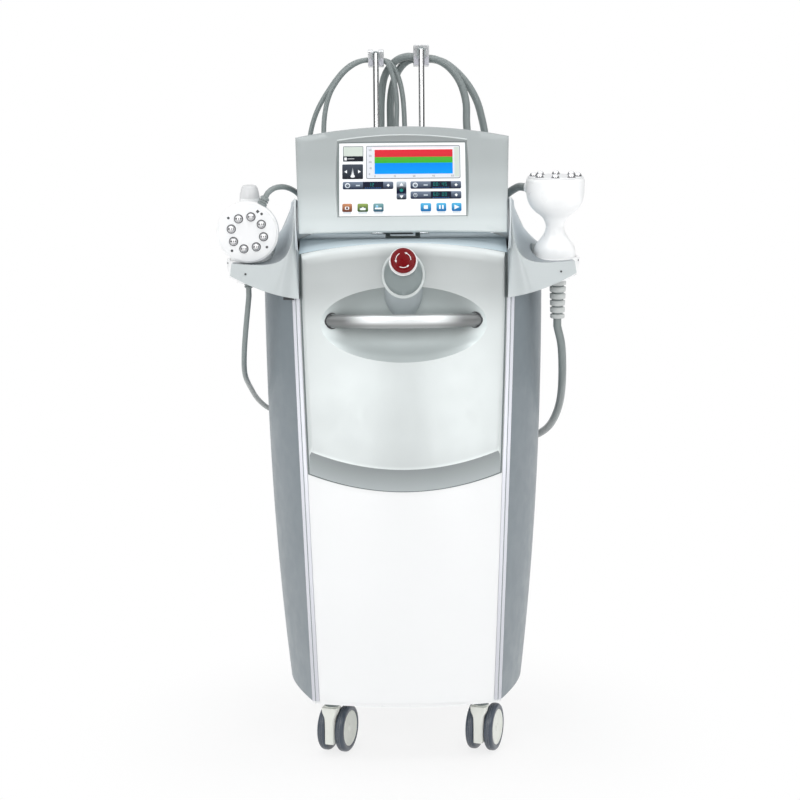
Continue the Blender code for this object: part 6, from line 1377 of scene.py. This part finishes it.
def make_caster(name, x, y):
    pivot = Matrix.Translation((x, y, 0)) @ Matrix.Rotation(CASTER_TURN, 4, "Z")
    axle = Matrix.Translation((0, AXLE_TRAIL, AXLE_Z)) @ Matrix.Rotation(math.pi / 2, 4, "Y")
    cheek = [(-0.012, 0.082), (-0.012, 0.07)]
    cheek += [(AXLE_TRAIL + y, AXLE_Z + z) for y, z in arc(0.0245, 170, 420, 41)] + [(0.012, 0.082)]
    neck = [[(-wide, rear, level), (-wide, -0.0165, level), (-wide + 0.0015, -0.0185, level),
             (wide - 0.0015, -0.0185, level), (wide, -0.0165, level), (wide, rear, level)]
            for level, wide, rear in NECK]
    bore = rod((0, 0, -0.016), (0, 0, 0.016), 0.0045, 32)
    bmesh.ops.transform(bore, matrix=axle, verts=bore.verts)
    piece(name + "_yoke", loft([[(side, *spot) for spot in cheek] for side in (-FORK_HALF, FORK_HALF)]), "hub",
          [name + "_fork"], name + "_caster", matrix=pivot, joins=[lathe(COLLAR, 48), loft(neck)], cuts=[bore],
          second=("dark_seal_and_shade", fork_shaded), bevel=0.0007, angle=40)
    hub = HUB_RADIUS
    inside = FORK_HALF + 0.0005
    outside = inside + 0.015
    rim = [(radius, outside - drop) for radius, drop in mm(
        (0, 0.6), (3.5, 0.6), (4.5, 1.4), (6.2, 1.4), (7, 2.2), (22.5, 2.2), (24, 1.6), (25.5, 0.3), (26.5, 0),
        (28.5, 0))]
    rim += [(hub, outside - 0.0006), (hub, inside + 0.0004), (hub - 0.0004, inside), (0.004, inside)]
    rim += [(radius, -along) for radius, along in reversed(rim)]
    piece(name + "_hubs", lathe(rim, 72, matrix=axle), "hub", [name + "_wheelset"], name + "_wheels", matrix=pivot,
          angle=30)
    flank = [(0.035, 0), (0.0375, 0.0008), (0.0392, 0.0025), (0.04, 0.0048), (0.04, 0.0054), (0.0394, 0.0056),
             (0.0394, 0.0061), (0.04, 0.0063)]
    ring = [(hub + GAP, inside + 0.0004)] + [(radius, inside + step) for radius, step in flank]
    ring += [(radius, outside - step) for radius, step in reversed(flank)]
    ring += [(0.032, outside), (0.031, outside - 0.0006), (hub + GAP, outside - 0.0006)]
    for label, sign in (("inner", -1), ("outer", 1)):
        tyre = lathe([(radius, sign * along) for radius, along in ring], 96, True, axle)
        piece("%s_%s_tread" % (name, label), tyre, "tyre", ["%s_%s_tyre" % (name, label)], name + "_wheels",
              matrix=pivot, angle=45)


for name, x, y in (("front_left", -0.125, -0.14), ("front_right", 0.125, -0.14),
                   ("rear_left", -0.125, 0.165), ("rear_right", 0.125, 0.165)):
    make_caster(name, x, y)

# Carried over solids get their finish
KEPT = {
    "base_plate": "white", "chassis_frame": "steel", "rear_panel": "blue_grey", "display_hinge": "grey",
    "power_supply": "steel", "rf_generator": "dark", "vacuum_pump": "steel", "fan_housing": "dark",
    "fan_rotor": "dark", "mains_inlet": "dark", "power_switch": "dark", "estop_stem": "steel",
}
for name, look in KEPT.items():
    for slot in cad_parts[name].material_slots:
        slot.material = LOOKS[look]

# Floor, white where the camera, a mirror or glass sees it, and a little darker near the object
bm = bmesh.new()
bmesh.ops.create_grid(bm, x_segments=2, y_segments=2, size=4)
floor = solid("floor", bm, "floor")
tree = LOOKS["floor"].node_tree
ray = add(tree, "LightPath").outputs
seen = calculate(tree, "MAXIMUM", ray["Is Camera Ray"], ray["Is Glossy Ray"])
seen = calculate(tree, "MAXIMUM", seen, ray["Is Transmission Ray"])
reach = add(tree, "VectorMath", {0: add(tree, "NewGeometry").outputs["Position"]}, operation="LENGTH").outputs["Value"]
near = remap(tree, reach, 0.2, 0.62, 0.8, 1, interpolation_type="SMOOTHSTEP")
feed(tree, tree.nodes["Material Output"], {"Surface": joined(
    tree, calculate(tree, "MULTIPLY", near, seen), tree.nodes["Principled BSDF"].outputs["BSDF"],
    add(tree, "Emission").outputs["Emission"])})

# World: a plain light, white behind, and a room with window bars in mirrors
ROOM = ((0, 1), (0.03, 1), (0.08, 0.12), (0.44, 0.12), (0.52, 1.1), (0.8, 1.1), (0.88, 0.34), (1, 0.34))
world = bpy.data.worlds.new("studio")
bpy.context.scene.world = world
world.use_nodes = True
tree = world.node_tree
ground = tree.nodes["Background"]
feed(tree, ground, {"Color": (0.97, 0.985, 1, 1), "Strength": 0.48})
side = add(tree, "SeparateXYZ", {"Vector": add(tree, "TexCoord").outputs["Generated"]}).outputs
room = ramp(tree, remap(tree, side["Y"], 1, -1), [(position, [level] * 3) for position, level in ROOM])
panes = [remap(tree, calculate(tree, "ABSOLUTE", side[axis]), first, last, 0.12)
         for axis, first, last in (("X", 0.14, 0.2), ("Z", 0.24, 0.32))]
bars = calculate(tree, "MAXIMUM", calculate(tree, "MINIMUM", *panes), remap(tree, side["Y"], 0, 0.3))
barred = mixed(tree, bars, (0.05, 0.05, 0.05, 1), room)
sky = mixed(tree, remap(tree, side["Z"], 0.5, 0.6), barred, (1.6, 1.62, 1.65, 1))
ray = add(tree, "LightPath").outputs
glossy = joined(tree, ray["Is Glossy Ray"], ground.outputs["Background"],
                add(tree, "Background", {"Color": sky}).outputs["Background"])
feed(tree, tree.nodes["World Output"], {"Surface": joined(
    tree, calculate(tree, "MAXIMUM", ray["Is Camera Ray"], ray["Is Transmission Ray"]), glossy,
    add(tree, "Background", {"Color": (1, 1, 1, 1)}).outputs["Background"])})


def lamp(name, location, target, size, power, mirrored=False):
    light = bpy.data.lights.new(name, "AREA")
    light.shape = "RECTANGLE"
    light.size, light.size_y = size
    light.energy = power
    item = bpy.data.objects.new(name, light)
    item.location = location
    item.rotation_euler = (Vector(target) - Vector(location)).to_track_quat("-Z", "Y").to_euler()
    item.visible_camera = False
    item.visible_glossy = mirrored
    bpy.context.scene.collection.objects.link(item)


for label, x in (("left", -1.05), ("right", 1.05)):
    lamp("high_" + label, (x, -2.2, 1.64), (x, 0, 1.64), (1.2, 1.28), 12, True)
    lamp("low_" + label, (x, -2.2, 0.3), (x, 0, 0.3), (1.2, 0.5), 4.7, True)
    lamp("side_" + label, (x * 2.5, 0.2, 1.1), (0, 0.05, 0.6), (1.6, 2), 20)
    lamp("rear_" + label, (x * 1.4, 2.4, 1.4), (0, 0.1, 0.6), (1.2, 1.6), 14)
lamp("over", (0, -0.9, 2.4), (0, -0.3, 0.8), (2, 0.4), 9, True)
bpy.context.scene.view_settings.view_transform = "Standard"
